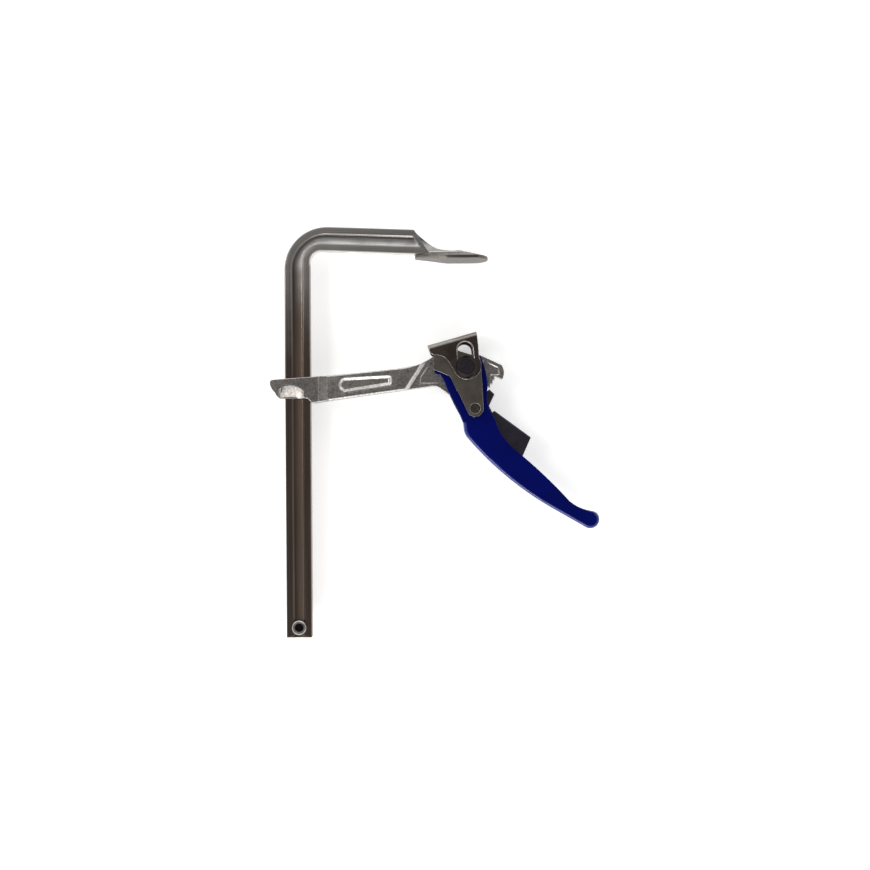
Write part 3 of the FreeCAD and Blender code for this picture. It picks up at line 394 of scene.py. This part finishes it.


# %% [markdown]
# The material itself mixes four colours: flange and groove floor, each in brown and in grey. The groove's
# floor turns grey later than the flange does, and painted light makes it lighter towards the inner wall
# while painted shade keeps it darker under the outer one.

# %% Drawn rail steel


def rail_steel():
    """Cold-drawn bar steel, oiled: brown-black along the rail, blasted grey at the forged end."""
    material, tree, shader, place = new_material("drawn rail steel, oiled")
    axes = add(tree, "ShaderNodeSeparateXYZ", {0: place}).outputs
    across = from_outer_edge(tree, place)
    along = add(tree, "ShaderNodeMath", {0: axes["X"], 1: axes["Y"]}, operation="ADD")
    slow = add(tree, "ShaderNodeMath", {0: along.outputs[0], 1: ALONG_SHARE}, operation="MULTIPLY")
    drawn = add(tree, "ShaderNodeCombineXYZ", {0: across.outputs[0], 1: slow.outputs[0], 2: axes["Z"]})
    streak = add(tree, "ShaderNodeTexNoise", {"Vector": drawn.outputs[0], "Scale": per_mm(1.3),
                                              "Detail": 3.0, "Roughness": 0.6})
    grain = add(tree, "ShaderNodeTexNoise", {"Vector": place, "Scale": per_mm(1.2), "Detail": 3.0})
    cloud = add(tree, "ShaderNodeTexNoise", {"Vector": place, "Scale": per_mm(16.0), "Detail": 3.0})
    wander = add(tree, "ShaderNodeMath", {0: cloud.outputs["Fac"], 1: BROWN_WANDER, 2: axes["Y"]},
                 operation="MULTIPLY_ADD")
    forged = add(tree, "ShaderNodeMapRange", {"Value": wander.outputs[0], "From Min": BROWN_ENDS_Y,
                                              "From Max": GREY_STARTS_Y})
    depth = add(tree, "ShaderNodeMath", {0: axes["Z"]}, operation="ABSOLUTE")
    in_groove = add(tree, "ShaderNodeMapRange", {"Value": depth.outputs[0], "From Min": GROOVE_FLOOR,
                                                 "From Max": FLANGE_TOP, "To Min": 1.0, "To Max": 0.0})
    floor_forged = add(tree, "ShaderNodeMath", {0: forged.outputs[0], 1: FLOOR_LAG}, operation="POWER")
    hollow = add(tree, "ShaderNodeMapRange", {"Value": across.outputs[0], "From Min": GROOVE_FROM,
                                              "From Max": GROOVE_TO})
    uneven = add(tree, "ShaderNodeMath", {0: streak.outputs["Fac"], 1: STREAKS_ON_FLOOR,
                                          2: -STREAKS_ON_FLOOR / 2}, operation="MULTIPLY_ADD")
    # Painted light and shade on the groove's floor: lighter towards the inner wall and darker by the outer
    # one, with the streaks on top.
    lit = add(tree, "ShaderNodeMath", {0: hollow.outputs[0], 1: uneven.outputs[0]}, operation="ADD",
              use_clamp=True)
    flange_brown = add(tree, "ShaderNodeMix", {0: streak.outputs["Fac"], MIX_A: linear("#4A3F39"),
                                               MIX_B: linear("#7A6C63")}, data_type="RGBA")
    flange_grey = add(tree, "ShaderNodeMix", {0: streak.outputs["Fac"], MIX_A: linear("#8C8782"),
                                              MIX_B: linear("#D4D0CC")}, data_type="RGBA")
    # The lighter end of each floor colour is the painted light near the inner wall.
    floor_brown = add(tree, "ShaderNodeMix", {0: lit.outputs[0], MIX_A: linear("#60544D"),
                                              MIX_B: linear("#978375")}, data_type="RGBA")
    floor_grey = add(tree, "ShaderNodeMix", {0: lit.outputs[0], MIX_A: linear("#6B6764"),
                                             MIX_B: linear("#FFFDFB")}, data_type="RGBA")
    flange = add(tree, "ShaderNodeMix", {0: forged.outputs[0], MIX_A: flange_brown.outputs[MIX_RESULT],
                                         MIX_B: flange_grey.outputs[MIX_RESULT]}, data_type="RGBA")
    floor = add(tree, "ShaderNodeMix", {0: floor_forged.outputs[0], MIX_A: floor_brown.outputs[MIX_RESULT],
                                        MIX_B: floor_grey.outputs[MIX_RESULT]}, data_type="RGBA")
    colour = add(tree, "ShaderNodeMix", {0: in_groove.outputs[0], MIX_A: flange.outputs[MIX_RESULT],
                                         MIX_B: floor.outputs[MIX_RESULT]}, data_type="RGBA")
    share = painted_shade_share(tree, across, forged, hollow, in_groove)
    shaded = add(tree, "ShaderNodeVectorMath", {0: colour.outputs[MIX_RESULT], "Scale": share.outputs[0]},
                 operation="SCALE")
    height = add(tree, "ShaderNodeMix", {0: forged.outputs[0], 2: streak.outputs["Fac"],
                                         3: grain.outputs["Fac"]})
    bump = add(tree, "ShaderNodeBump", {"Height": height.outputs[0], "Strength": 0.35,
                                        "Distance": 0.12 * MM})
    blasted = add(tree, "ShaderNodeMath", {0: floor_forged.outputs[0], 1: hollow.outputs[0]},
                  operation="MULTIPLY")
    on_floor = add(tree, "ShaderNodeMath", {0: blasted.outputs[0], 1: in_groove.outputs[0]},
                   operation="MULTIPLY")
    rough = add(tree, "ShaderNodeMapRange", {"Value": on_floor.outputs[0], "To Min": DRAWN_ROUGH,
                                             "To Max": BLASTED_ROUGH})
    shader.inputs["Metallic"].default_value = 1.0
    tree.links.new(shaded.outputs[0], shader.inputs["Base Color"])
    tree.links.new(rough.outputs[0], shader.inputs["Roughness"])
    tree.links.new(bump.outputs[0], shader.inputs["Normal"])
    return material


# %% [markdown]
# The pressure piece and the cam plates are pressed from sheet and heat treated. That leaves them dark
# and smooth, with faint brown clouds.

# %% Heat-treated sheet


def treated_sheet(name, dark, light, roughness):
    """Pressed and heat-treated steel: smooth, dark, with faint brown clouds."""
    material, tree, shader, place = new_material(name)
    cloud = add(tree, "ShaderNodeTexNoise", {"Vector": place, "Scale": per_mm(11.0), "Detail": 5.0,
                                             "Roughness": 0.6})
    fine = add(tree, "ShaderNodeTexNoise", {"Vector": place, "Scale": per_mm(1.5), "Detail": 2.0})
    spread = add(tree, "ShaderNodeMapRange", {"Value": cloud.outputs["Fac"], "From Min": 0.3,
                                              "From Max": 0.7})
    colour = add(tree, "ShaderNodeMix", {0: spread.outputs[0], MIX_A: linear(dark), MIX_B: linear(light)},
                 data_type="RGBA")
    rough = add(tree, "ShaderNodeMapRange", {"Value": fine.outputs["Fac"], "From Min": 0.3, "From Max": 0.7,
                                             "To Min": roughness - 0.04, "To Max": roughness + 0.05})
    bump = add(tree, "ShaderNodeBump", {"Height": fine.outputs["Fac"], "Strength": 0.2,
                                        "Distance": 0.1 * MM})
    shader.inputs["Metallic"].default_value = 1.0
    tree.links.new(colour.outputs[MIX_RESULT], shader.inputs["Base Color"])
    tree.links.new(rough.outputs[0], shader.inputs["Roughness"])
    tree.links.new(bump.outputs[0], shader.inputs["Normal"])
    return material


# %% [markdown]
# The handle wears a deep blue enamel: a smooth skin of coloured glass-like paint over the steel. It
# isn't a metal to the eye, so its metallic value is zero, and a clear coat gives the sharp highlight.
# Sprayed enamel is never quite flat: a soft ripple a few millimetres wide bends the highlights.

# %% Blue enamel


def blue_enamel(name, dark, light, coat):
    """Stoved enamel, sprayed: deep blue, glossy, with a faint orange-peel ripple."""
    material, tree, shader, place = new_material(name)
    ripple = add(tree, "ShaderNodeTexNoise", {"Vector": place, "Scale": per_mm(3.0), "Detail": 1.0})
    cloud = add(tree, "ShaderNodeTexNoise", {"Vector": place, "Scale": per_mm(25.0), "Detail": 2.0})
    colour = add(tree, "ShaderNodeMix", {0: cloud.outputs["Fac"], MIX_A: linear(dark),
                                         MIX_B: linear(light)}, data_type="RGBA")
    bump = add(tree, "ShaderNodeBump", {"Height": ripple.outputs["Fac"], "Strength": 0.25,
                                        "Distance": 0.12 * MM})
    shader.inputs["Roughness"].default_value = 0.4
    shader.inputs["IOR"].default_value = 1.5
    shader.inputs["Specular IOR Level"].default_value = 0.05
    shader.inputs["Coat Weight"].default_value = coat
    shader.inputs["Coat Roughness"].default_value = 0.05
    tree.links.new(colour.outputs[MIX_RESULT], shader.inputs["Base Color"])
    tree.links.new(bump.outputs[0], shader.inputs["Normal"])
    return material


# %% [markdown]
# ## Rounded edges
# The mechanical model has knife-sharp edges. No real forging or pressing has them, and a sharp edge
# catches no light. A Bevel modifier rounds them on a merged copy of each piece, and the result is kept
# as a plain mesh, so that the piece is finished before it is tied to its body.
#
# A wide bevel needs room: where a corner has a short edge beside it, or a curve is tighter than the
# bevel, its faces would cross. So each edge is weighed. Edges that run on into each other share the
# least room found along the run, because a bevel that changes width on the way leaves spikes.

# %% Edge rounding
SAME_POINT = 0.1 * MM
FLAT_WITHIN_DEG = 0.8
EDGE_FROM_DEG = 24.0
CORNER_TURN_DEG = 40.0
CORNER_ROOM = 0.45
CURVE_ROOM = 0.6
STUB = 0.4 * MM
EDGE_FINISH = 1
AREA_FINISH = 2


def corner_edges(work):
    return {edge for edge in work.edges if edge.calc_face_angle(0.0) > math.radians(EDGE_FROM_DEG)}


def meetings(vert, cornered):
    """The pairs of corner edges that meet at a point, each with the angle of the turn between them."""
    here = [edge for edge in vert.link_edges if edge in cornered]
    ways = {edge: edge.other_vert(vert).co - vert.co for edge in here}
    return [(edge, other, math.pi - ways[edge].angle(ways[other]))
            for index, edge in enumerate(here) for other in here[:index]]


def weld_stubs(work):
    """Takes the short edges beside corners into the corner, so that they don't limit the rounding."""
    cornered = corner_edges(work)
    sharp_turn = math.radians(CORNER_TURN_DEG)
    corners = {vert for vert in work.verts
               if any(turn > sharp_turn for edge, other, turn in meetings(vert, cornered))}
    target = {}
    for edge in cornered:
        if edge.calc_length() < STUB:
            for vert in edge.verts:
                if vert in corners and edge.other_vert(vert) not in corners:
                    target[edge.other_vert(vert)] = vert
    bmesh.ops.weld_verts(work, targetmap=target)


def weigh_edges(work, radius):
    """Gives each corner edge its share of the radius, one share for every run of edges."""
    share = work.edges.layers.float.new("bevel_weight_edge")
    cornered = corner_edges(work)
    room = {edge: 1.0 for edge in cornered}
    run_of = {edge: {edge} for edge in cornered}
    for vert in work.verts:
        for edge, other, turn in meetings(vert, cornered):
            shorter = min(edge.calc_length(), other.calc_length())
            if turn > math.radians(CORNER_TURN_DEG):
                limit = CORNER_ROOM * shorter / radius
            else:
                limit = CURVE_ROOM * shorter / max(2 * math.sin(turn / 2), 1e-6) / radius
                run = run_of[edge] | run_of[other]
                for member in run if run_of[edge] is not run_of[other] else ():
                    run_of[member] = run
            room[edge] = min(room[edge], limit)
            room[other] = min(room[other], limit)
    for edge in cornered:
        edge[share] = min(room[member] for member in run_of[edge])


def softened(node_name, piece_name, radius_mm, skin, edge=None, area=None, on_area=None, segments=2):
    """A copy of a CAD node with its edges rounded, which takes the node's place.

    The rounding gets the edge's finish. Where on_area holds for a face's normal and centre, that face
    gets the area's finish.
    """
    mesh = frame["nodes"][node_name].data.copy()
    mesh.name = piece_name
    work = bmesh.new()
    work.from_mesh(mesh)
    bmesh.ops.remove_doubles(work, verts=work.verts, dist=SAME_POINT)
    bmesh.ops.dissolve_limit(work, angle_limit=math.radians(FLAT_WITHIN_DEG), verts=work.verts,
                             edges=work.edges)
    weld_stubs(work)
    # The second pass takes in the stubs that the first one brought to a corner.
    weld_stubs(work)
    weigh_edges(work, radius_mm * MM)
    work.to_mesh(mesh)
    work.free()
    mesh.shade_smooth()
    mesh.set_sharp_from_angle(angle=math.radians(EDGE_FROM_DEG))
    mesh.materials.clear()
    for finish in (skin, edge or skin, area or skin):
        mesh.materials.append(finish)
    piece = bpy.data.objects.new(piece_name, mesh)
    bpy.context.scene.collection.objects.link(piece)
    bevel = piece.modifiers.new("edges", "BEVEL")
    bevel.width = radius_mm * MM
    bevel.segments = segments
    bevel.limit_method = "WEIGHT"
    bevel.use_clamp_overlap = False
    bevel.miter_outer = "MITER_ARC"
    bevel.material = EDGE_FINISH
    bevel.harden_normals = True
    ready = bpy.data.meshes.new_from_object(piece.evaluated_get(bpy.context.evaluated_depsgraph_get()))
    piece.modifiers.clear()
    piece.data = ready
    if on_area:
        for face in ready.polygons:
            if face.material_index == 0 and on_area(face.normal, face.center):
                face.material_index = AREA_FINISH
    dress(piece, node_name)
    return piece


def dress(piece, node_name):
    """Ties a finished piece to the node that it stands for."""
    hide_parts(node_name)
    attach(piece, body_of_node[node_name])
    print(piece.name, len(piece.data.polygons), "faces")


# %% [markdown]
# ## The pieces
# Each piece is softened by the radius that its making leaves: most on forgings, least on sheared sheet.

# %% Finishes for the pieces
forging = blasted_forging()
rail = rail_steel()
pressed = treated_sheet("heat-treated pressing", "#544A45", "#6C615A", 0.27)
# The folds of the pressure piece get a painted sheen, lighter than its flat faces.
pressed_fold_sheen = treated_sheet("heat-treated pressing, painted sheen on folds", "#857E79", "#A49D98", 0.3)
plate = treated_sheet("heat-treated plate", "#736C64", "#8B837A", 0.33)
blackened = treated_sheet("blackened steel", "#433F4A", "#534F5B", 0.36)
enamel = blue_enamel("blue enamel", "#010548", "#010E68", 0.08)
# The lever's edges and bends get a painted highlight: a paler blue under a full clear coat.
enamel_painted_highlight = blue_enamel("blue enamel, painted highlight on edges and folds", "#101F6C", "#24358A", 1.0)
forging_edge = rubbed_edge_and_sheen("forging, rubbed edge", "#A8A39F", "#E2DFDC", 0.3)
# The arm's slopes get a painted sheen: a lighter finish in place of the light that they catch.
forging_painted_sheen = rubbed_edge_and_sheen("forging, painted sheen on slopes", "#B7B3AF", "#D9D6D3", 0.3)
sheet_edge = rubbed_edge_and_sheen("sheet, rubbed edge", "#7A746F", "#C4BFBA", 0.28)
black_edge = rubbed_edge_and_sheen("blackened steel, rubbed edge", "#4E4A50", "#716C72", 0.34)
# The jaw's clamping face and slopes take a darker colour than the bar's own skin.
jaw_face = rubbed_edge_and_sheen("forged jaw, darker faces", "#544F49", "#716C65", 0.38)

# %% [markdown]
# Some faces need a finish of their own. A small test for each picks them by where they lie and by how
# much they face the camera, which is the size of their normal's Z: one on a flat, nought on a wall.

# %% Which faces get another finish
PIVOT = (13.4, -107.0)
PAD_PUSHES_DEG = 105.6
FOLD_FROM = 24.0 * MM
JAW_BELOW_Y = 9.0 * MM
JAW_FROM_X = -40.0 * MM
COLLAR_ENDS_X = -130.0 * MM


def on_fold(normal, centre):
    """True on the pressure piece's folds, which are its only slanted faces so far from the pivot."""
    push = math.radians(PAD_PUSHES_DEG)
    right = centre.x - PIVOT[0] * MM
    up = centre.y - PIVOT[1] * MM
    return 0.2 < abs(normal.z) < 0.99 and right * math.cos(push) + up * math.sin(push) > FOLD_FROM


def on_jaw(normal, centre):
    """True on the fixed jaw's clamping face and slopes, but not on the flats that face the camera."""
    return centre.y < JAW_BELOW_Y and centre.x > JAW_FROM_X and abs(normal.z) < 0.97


def on_slope(normal, centre):
    """True on the arm's facet, its long chamfers and the walls of its recess, but not in the collar."""
    return 0.6 < abs(normal.z) < 0.85 and centre.x > COLLAR_ENDS_X


def on_curve(normal, centre):
    """True where the lever's sheet is bent over."""
    return 0.02 < abs(normal.z) < 0.98


# %% Dress the forgings and the pressings
softened("fixed_bar", "bar_forging", 0.5, rail, rail, jaw_face, on_jaw)
# The arm's facet, long chamfers and recess walls take the painted sheen.
softened("sliding_arm", "arm_forging", 0.7, forging, forging_edge, forging_painted_sheen, on_slope)
# The lever's rounded edges and bends take the painted highlight.
softened("lever", "lever_pressing", 0.5, enamel, enamel_painted_highlight, enamel_painted_highlight, on_curve)
# The pressure piece's folds take the painted sheen.
softened("pressure_piece", "pressure_pressing", 0.45, pressed, sheet_edge, pressed_fold_sheen, on_fold)
softened("cam_plate_front", "front_cam", 0.4, plate, sheet_edge)
softened("cam_plate_rear", "rear_cam", 0.4, plate, sheet_edge)
softened("ratchet_pawl", "pawl", 0.35, blackened, black_edge)
softened("release_trigger", "trigger_pressing", 0.4, blackened, black_edge)

# %% [markdown]
# Pins, rivets, washers and spacers are turned on a lathe: a bar spins while a tool cuts its profile. In
# Blender the Screw modifier or the Spin tool could do the same. Geometry Nodes make a lathe that every
# round piece shares: the object's own mesh is the profile, a line of points in the plane of the axis,
# and the tree sweeps it round a tiny circle. The tree also stores each point's distance from the axis,
# so that the finish can follow the tool marks.

# %% The lathe, as a node tree
AXIS_RADIUS = 0.004 * MM
WELD = 0.02 * MM
CORNER_FROM_DEG = 18.0


def new_tree(name, inputs):
    """An empty geometry tree with named inputs and one geometry output."""
    tree = bpy.data.node_groups.new(name, "GeometryNodeTree")
    for label, kind in inputs:
        tree.interface.new_socket(label, in_out="INPUT", socket_type=kind)
    tree.interface.new_socket("Piece", in_out="OUTPUT", socket_type="NodeSocketGeometry")
    return tree, add(tree, "NodeGroupInput").outputs


def end_tree(tree, geometry, finish):
    """Every tree ends the same way: real geometry, smooth, with its material."""
    smooth = add(tree, "GeometryNodeSetShadeSmooth", {"Geometry": geometry})
    real = add(tree, "GeometryNodeRealizeInstances", {"Geometry": smooth.outputs[0]})
    dressed = add(tree, "GeometryNodeSetMaterial", {"Geometry": real.outputs[0], "Material": finish})
    add(tree, "NodeGroupOutput", {0: dressed.outputs[0]})


def lathe_tree():
    tree, given = new_tree("lathe", [("Profile", "NodeSocketGeometry"), ("Centre", "NodeSocketVector"),
                                     ("Steps", "NodeSocketInt"), ("Finish", "NodeSocketMaterial")])
    profile = add(tree, "GeometryNodeMeshToCurve", {"Mesh": given["Profile"]})
    axis = add(tree, "GeometryNodeCurvePrimitiveCircle", {"Resolution": given["Steps"],
                                                          "Radius": AXIS_RADIUS})
    swept = add(tree, "GeometryNodeCurveToMesh", {"Curve": axis.outputs[0],
                                                  "Profile Curve": profile.outputs[0]})
    welded = add(tree, "GeometryNodeMergeByDistance", {"Geometry": swept.outputs[0], "Distance": WELD})
    spot = add(tree, "GeometryNodeInputPosition").outputs[0]
    flat = add(tree, "ShaderNodeVectorMath", {0: spot, 1: (1.0, 1.0, 0.0)}, operation="MULTIPLY")
    reach = add(tree, "ShaderNodeVectorMath", {0: flat.outputs[0]}, operation="LENGTH")
    marked = add(tree, "GeometryNodeStoreNamedAttribute", {"Geometry": welded.outputs[0], "Name": "turning",
                                                           "Value": reach.outputs["Value"]})
    placed = add(tree, "GeometryNodeSetPosition", {"Geometry": marked.outputs[0],
                                                   "Offset": given["Centre"]})
    end_tree(tree, placed.outputs[0], given["Finish"])
    return tree


lathe = lathe_tree()


def grown(piece, tree, values):
    """Runs a geometry tree on an object and keeps the result as its plain mesh."""
    modifier = piece.modifiers.new("tree", "NODES")
    modifier.node_group = tree
    for item in tree.interface.items_tree:
        if item.in_out == "INPUT" and item.name in values:
            modifier[item.identifier] = values[item.name]
    bpy.context.scene.collection.objects.link(piece)
    ready = bpy.data.meshes.new_from_object(piece.evaluated_get(bpy.context.evaluated_depsgraph_get()))
    ready.name = piece.name
    piece.modifiers.clear()
    piece.data = ready
    work = bmesh.new()
    work.from_mesh(ready)
    bmesh.ops.recalc_face_normals(work, faces=work.faces)
    work.to_mesh(ready)
    work.free()
    ready.shade_smooth()
    ready.set_sharp_from_angle(angle=math.radians(CORNER_FROM_DEG))


def turned(node_name, piece_name, centre, profile, finish, closed=False, steps=64):
    """A turned piece from its profile: pairs of a radius and a height in millimetres.

    A sweep round this circle lays the profile's Y along -Z, so the heights change sign first.
    """
    mesh = bpy.data.meshes.new(piece_name)
    points = [(radius * MM - AXIS_RADIUS, -height * MM, 0.0) for radius, height in profile]
    lines = [(i, i + 1) for i in range(len(points) - 1)]
    if closed:
        lines.append((len(points) - 1, 0))
    mesh.from_pydata(points, lines, [])
    piece = bpy.data.objects.new(piece_name, mesh)
    grown(piece, lathe, {"Centre": (centre[0] * MM, centre[1] * MM, 0.0), "Steps": steps, "Finish": finish})
    dress(piece, node_name)
    return piece


# %% [markdown]
# A tool leaves fine rings on a turned face. They are a fraction of a millimetre apart, and are drawn
# coarser here so that the render can show them. The rings read the distance that the lathe stored.

# %% Turned finish


def turned_finish(name, dark, light, roughness, painted_shade_radii=None):
    """Turned steel: rings about the axis, and colour clouds.

    The last argument gives the radius in millimetres where painted shade covers the steel, and the radius
    where the steel shows its own colour.
    """
    material, tree, shader, place = new_material(name)
    turning = add(tree, "ShaderNodeAttribute", attribute_name="turning").outputs["Fac"]
    rings = add(tree, "ShaderNodeTexNoise", {"W": turning, "Scale": per_mm(0.7), "Detail": 2.0},
                noise_dimensions="1D")
    cloud = add(tree, "ShaderNodeTexNoise", {"Vector": place, "Scale": per_mm(3.0), "Detail": 3.0})
    both = add(tree, "ShaderNodeMath", {0: rings.outputs["Fac"], 1: cloud.outputs["Fac"]}, operation="ADD")
    spread = add(tree, "ShaderNodeMapRange", {"Value": both.outputs[0], "From Min": 0.75, "From Max": 1.25})
    colour = add(tree, "ShaderNodeMix", {0: spread.outputs[0], MIX_A: linear(dark), MIX_B: linear(light)},
                 data_type="RGBA")
    if painted_shade_radii:
        unshaded = add(tree, "ShaderNodeMapRange", {"Value": turning, "From Min": painted_shade_radii[0] * MM,
                                                 "From Max": painted_shade_radii[1] * MM})
        # Painted shade: this dark colour stands in for the shade on the pin's bevel and inside the rivet's
        # hollow.
        colour = add(tree, "ShaderNodeMix", {0: unshaded.outputs[0], MIX_A: linear("#2E292B"),
                                             MIX_B: colour.outputs[MIX_RESULT]}, data_type="RGBA")
    bump = add(tree, "ShaderNodeBump", {"Height": rings.outputs["Fac"], "Strength": 0.3,
                                        "Distance": 0.1 * MM})
    shader.inputs["Metallic"].default_value = 1.0
    shader.inputs["Roughness"].default_value = roughness
    tree.links.new(colour.outputs[MIX_RESULT], shader.inputs["Base Color"])
    tree.links.new(bump.outputs[0], shader.inputs["Normal"])
    return material


# The pin's head bevel beyond 7.5 mm and the hollow of the tubular rivet are painted dark as shade.
pin_turned = turned_finish("turned and blackened steel, pin", "#423E44", "#57525A", 0.3, painted_shade_radii=(7.5, 7.0))
stop_turned = turned_finish("turned steel, tubular rivet", "#8E8884", "#C4BFBA", 0.28, painted_shade_radii=(4.2, 4.9))
rivet_turned = turned_finish("turned steel, oiled", "#4F4A46", "#6E6861", 0.3)
bright_turned = turned_finish("turned steel, bright", "#77726F", "#A8A39F", 0.28)

# %% [markdown]
# ## Round pieces
# The profiles follow the model's sizes, in millimetres from the middle plane. Corners that the tool
# breaks get a short bevel. The pin's head has a broad bevel, and its other end is hammered flat over
# the washer. The link rivet's heads are sunk and dished; the trigger's two rivets are low domes.

# %% Profiles of the round pieces
LINK = (21.7, -148.0)
RAIL_STOP = (-154.4, -364.6)
TRIGGER_RIVETS = {"upper": (37.7, -160.3), "lower": (41.3, -166.9)}


def mirrored(half):
    """A profile's upper half, from the axis outwards, with its mirror image below."""
    return [(radius, -height) for radius, height in half] + half[::-1]


turned("pivot_pin", "pin_turning", PIVOT, [
    (0.0, -19.7), (5.6, -19.9), (7.2, -19.6), (8.6, -18.8), (8.9, -18.32), (7.1, -18.3), (7.1, 16.8),
    (10.4, 16.8), (10.6, 17.0), (10.6, 17.3), (10.35, 17.65), (8.1, 19.9), (7.6, 20.15), (7.0, 20.2),
    (0.0, 20.1),
], pin_turned)
turned("pivot_washer", "washer", PIVOT, [
    (7.1, -16.8), (10.8, -16.8), (11.0, -17.0), (11.0, -18.1), (10.8, -18.3), (7.1, -18.3),
], bright_turned, closed=True)
turned("end_stop_pin", "stop_pin", RAIL_STOP, mirrored([
    (0.0, 4.5), (3.9, 4.5), (4.3, 4.8), (4.3, 7.7), (4.6, 8.0), (6.1, 8.0), (7.05, 7.2), (7.2, 6.9),
    (7.2, 6.0), (5.2, 6.0),
]), stop_turned)
turned("link_rivet", "link_rivet_turning", LINK, mirrored([
    (0.0, 11.9), (1.6, 12.0), (3.2, 12.35), (4.1, 12.6), (4.75, 12.6), (5.0, 12.4), (5.0, 11.2),
    (4.0, 11.2),
]), rivet_turned)
for place_name, spot in TRIGGER_RIVETS.items():
    turned(f"trigger_rivet_{place_name}", f"{place_name}_rivet", spot, mirrored([
        (0.0, 5.9), (1.1, 5.84), (1.9, 5.62), (2.5, 5.3), (2.8, 5.0), (2.0, 5.0),
    ]), rivet_turned, steps=40)
for side_name, side in (("front", 1.0), ("rear", -1.0)):
    turned(f"pawl_spacer_{side_name}", f"{side_name}_spacer", LINK, [
        (4.0, side * 3.6), (4.9, side * 3.6), (5.0, side * 3.7), (5.0, side * 6.2), (4.9, side * 6.3),
        (4.0, side * 6.3),
    ], bright_turned, closed=True, steps=40)

# %% [markdown]
# ## The spring
# The pawl's spring is round wire wound in a coil, with two straight legs. A coil follows a rule: the
# angle and the height grow evenly along it. So the tree makes a line of points, bends it into the coil
# with that rule, adds the legs, which are the object's own mesh, and sweeps a small circle along all.

# %% The spring, as a node tree
COIL_RADIUS = 5.55
COIL_LOW = 4.15
COIL_RISE = 1.41
COIL_START_DEG = 180.0
COIL_TURN_DEG = -527.8
COIL_POINTS = 120
WIRE_RADIUS = 0.45
BACK_LEG = 24.0
HOOK = (30.5, -162.4)
HOOK_END = -3.4


def spring_tree():
    tree, given = new_tree("torsion spring", [
        ("Legs", "NodeSocketGeometry"), ("Centre", "NodeSocketVector"), ("Coil radius", "NodeSocketFloat"),
        ("Rise", "NodeSocketFloat"), ("Start angle", "NodeSocketFloat"),
        ("Turned angle", "NodeSocketFloat"), ("Wire radius", "NodeSocketFloat"),
        ("Finish", "NodeSocketMaterial")])
    row = add(tree, "GeometryNodeCurvePrimitiveLine", {"End": (0.0, 0.0, 1.0)})
    points = add(tree, "GeometryNodeResampleCurve", {"Curve": row.outputs[0], "Count": COIL_POINTS})
    along = add(tree, "GeometryNodeSplineParameter").outputs["Factor"]
    angle = add(tree, "ShaderNodeMath", {0: along, 1: given["Turned angle"], 2: given["Start angle"]},
                operation="MULTIPLY_ADD").outputs[0]
    across = add(tree, "ShaderNodeMath", {0: angle}, operation="COSINE").outputs[0]
    up = add(tree, "ShaderNodeMath", {0: angle}, operation="SINE").outputs[0]
    x = add(tree, "ShaderNodeMath", {0: across, 1: given["Coil radius"]}, operation="MULTIPLY").outputs[0]
    y = add(tree, "ShaderNodeMath", {0: up, 1: given["Coil radius"]}, operation="MULTIPLY").outputs[0]
    z = add(tree, "ShaderNodeMath", {0: along, 1: given["Rise"]}, operation="MULTIPLY").outputs[0]
    spot = add(tree, "ShaderNodeCombineXYZ", {0: x, 1: y, 2: z}).outputs[0]
    coil = add(tree, "GeometryNodeSetPosition", {"Geometry": points.outputs[0], "Position": spot,
                                                 "Offset": given["Centre"]})
    legs = add(tree, "GeometryNodeMeshToCurve", {"Mesh": given["Legs"]})
    route = add(tree, "GeometryNodeJoinGeometry")
    tree.links.new(legs.outputs[0], route.inputs[0])
    tree.links.new(coil.outputs[0], route.inputs[0])
    ring = add(tree, "GeometryNodeCurvePrimitiveCircle", {"Resolution": 12, "Radius": given["Wire radius"]})
    wire = add(tree, "GeometryNodeCurveToMesh", {"Curve": route.outputs[0],
                                                 "Profile Curve": ring.outputs[0], "Fill Caps": True})
    end_tree(tree, wire.outputs[0], given["Finish"])
    return tree


# %% The spring
coil_end = math.radians(COIL_START_DEG + COIL_TURN_DEG)
leave = (LINK[0] + COIL_RADIUS * math.cos(coil_end), LINK[1] + COIL_RADIUS * math.sin(coil_end))
coil_top = COIL_LOW + COIL_RISE
leg_points = [
    (LINK[0] - COIL_RADIUS, LINK[1] - BACK_LEG, COIL_LOW), (LINK[0] - COIL_RADIUS, LINK[1], COIL_LOW),
    (leave[0], leave[1], coil_top), (HOOK[0], HOOK[1], coil_top), (HOOK[0], HOOK[1], HOOK_END),
]
legs = bpy.data.meshes.new("spring")
legs.from_pydata([tuple(v * MM for v in point) for point in leg_points], [(0, 1), (2, 3), (3, 4)], [])
spring = bpy.data.objects.new("spring", legs)
spring_steel = treated_sheet("spring steel", "#6F6B68", "#928E8A", 0.28)
grown(spring, spring_tree(), {
    "Centre": (LINK[0] * MM, LINK[1] * MM, COIL_LOW * MM),
    "Coil radius": COIL_RADIUS * MM,
    "Rise": COIL_RISE * MM,
    "Start angle": math.radians(COIL_START_DEG),
    "Turned angle": math.radians(COIL_TURN_DEG),
    "Wire radius": WIRE_RADIUS * MM,
    "Finish": spring_steel,
})
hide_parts("pawl_spring")
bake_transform(spring)
print(spring.name, len(spring.data.polygons), "faces")

# %% [markdown]
# ## Finish
# The last cell prints the size of the model before dressing.

# %% Sizes and finish
print("cad", cad_box)
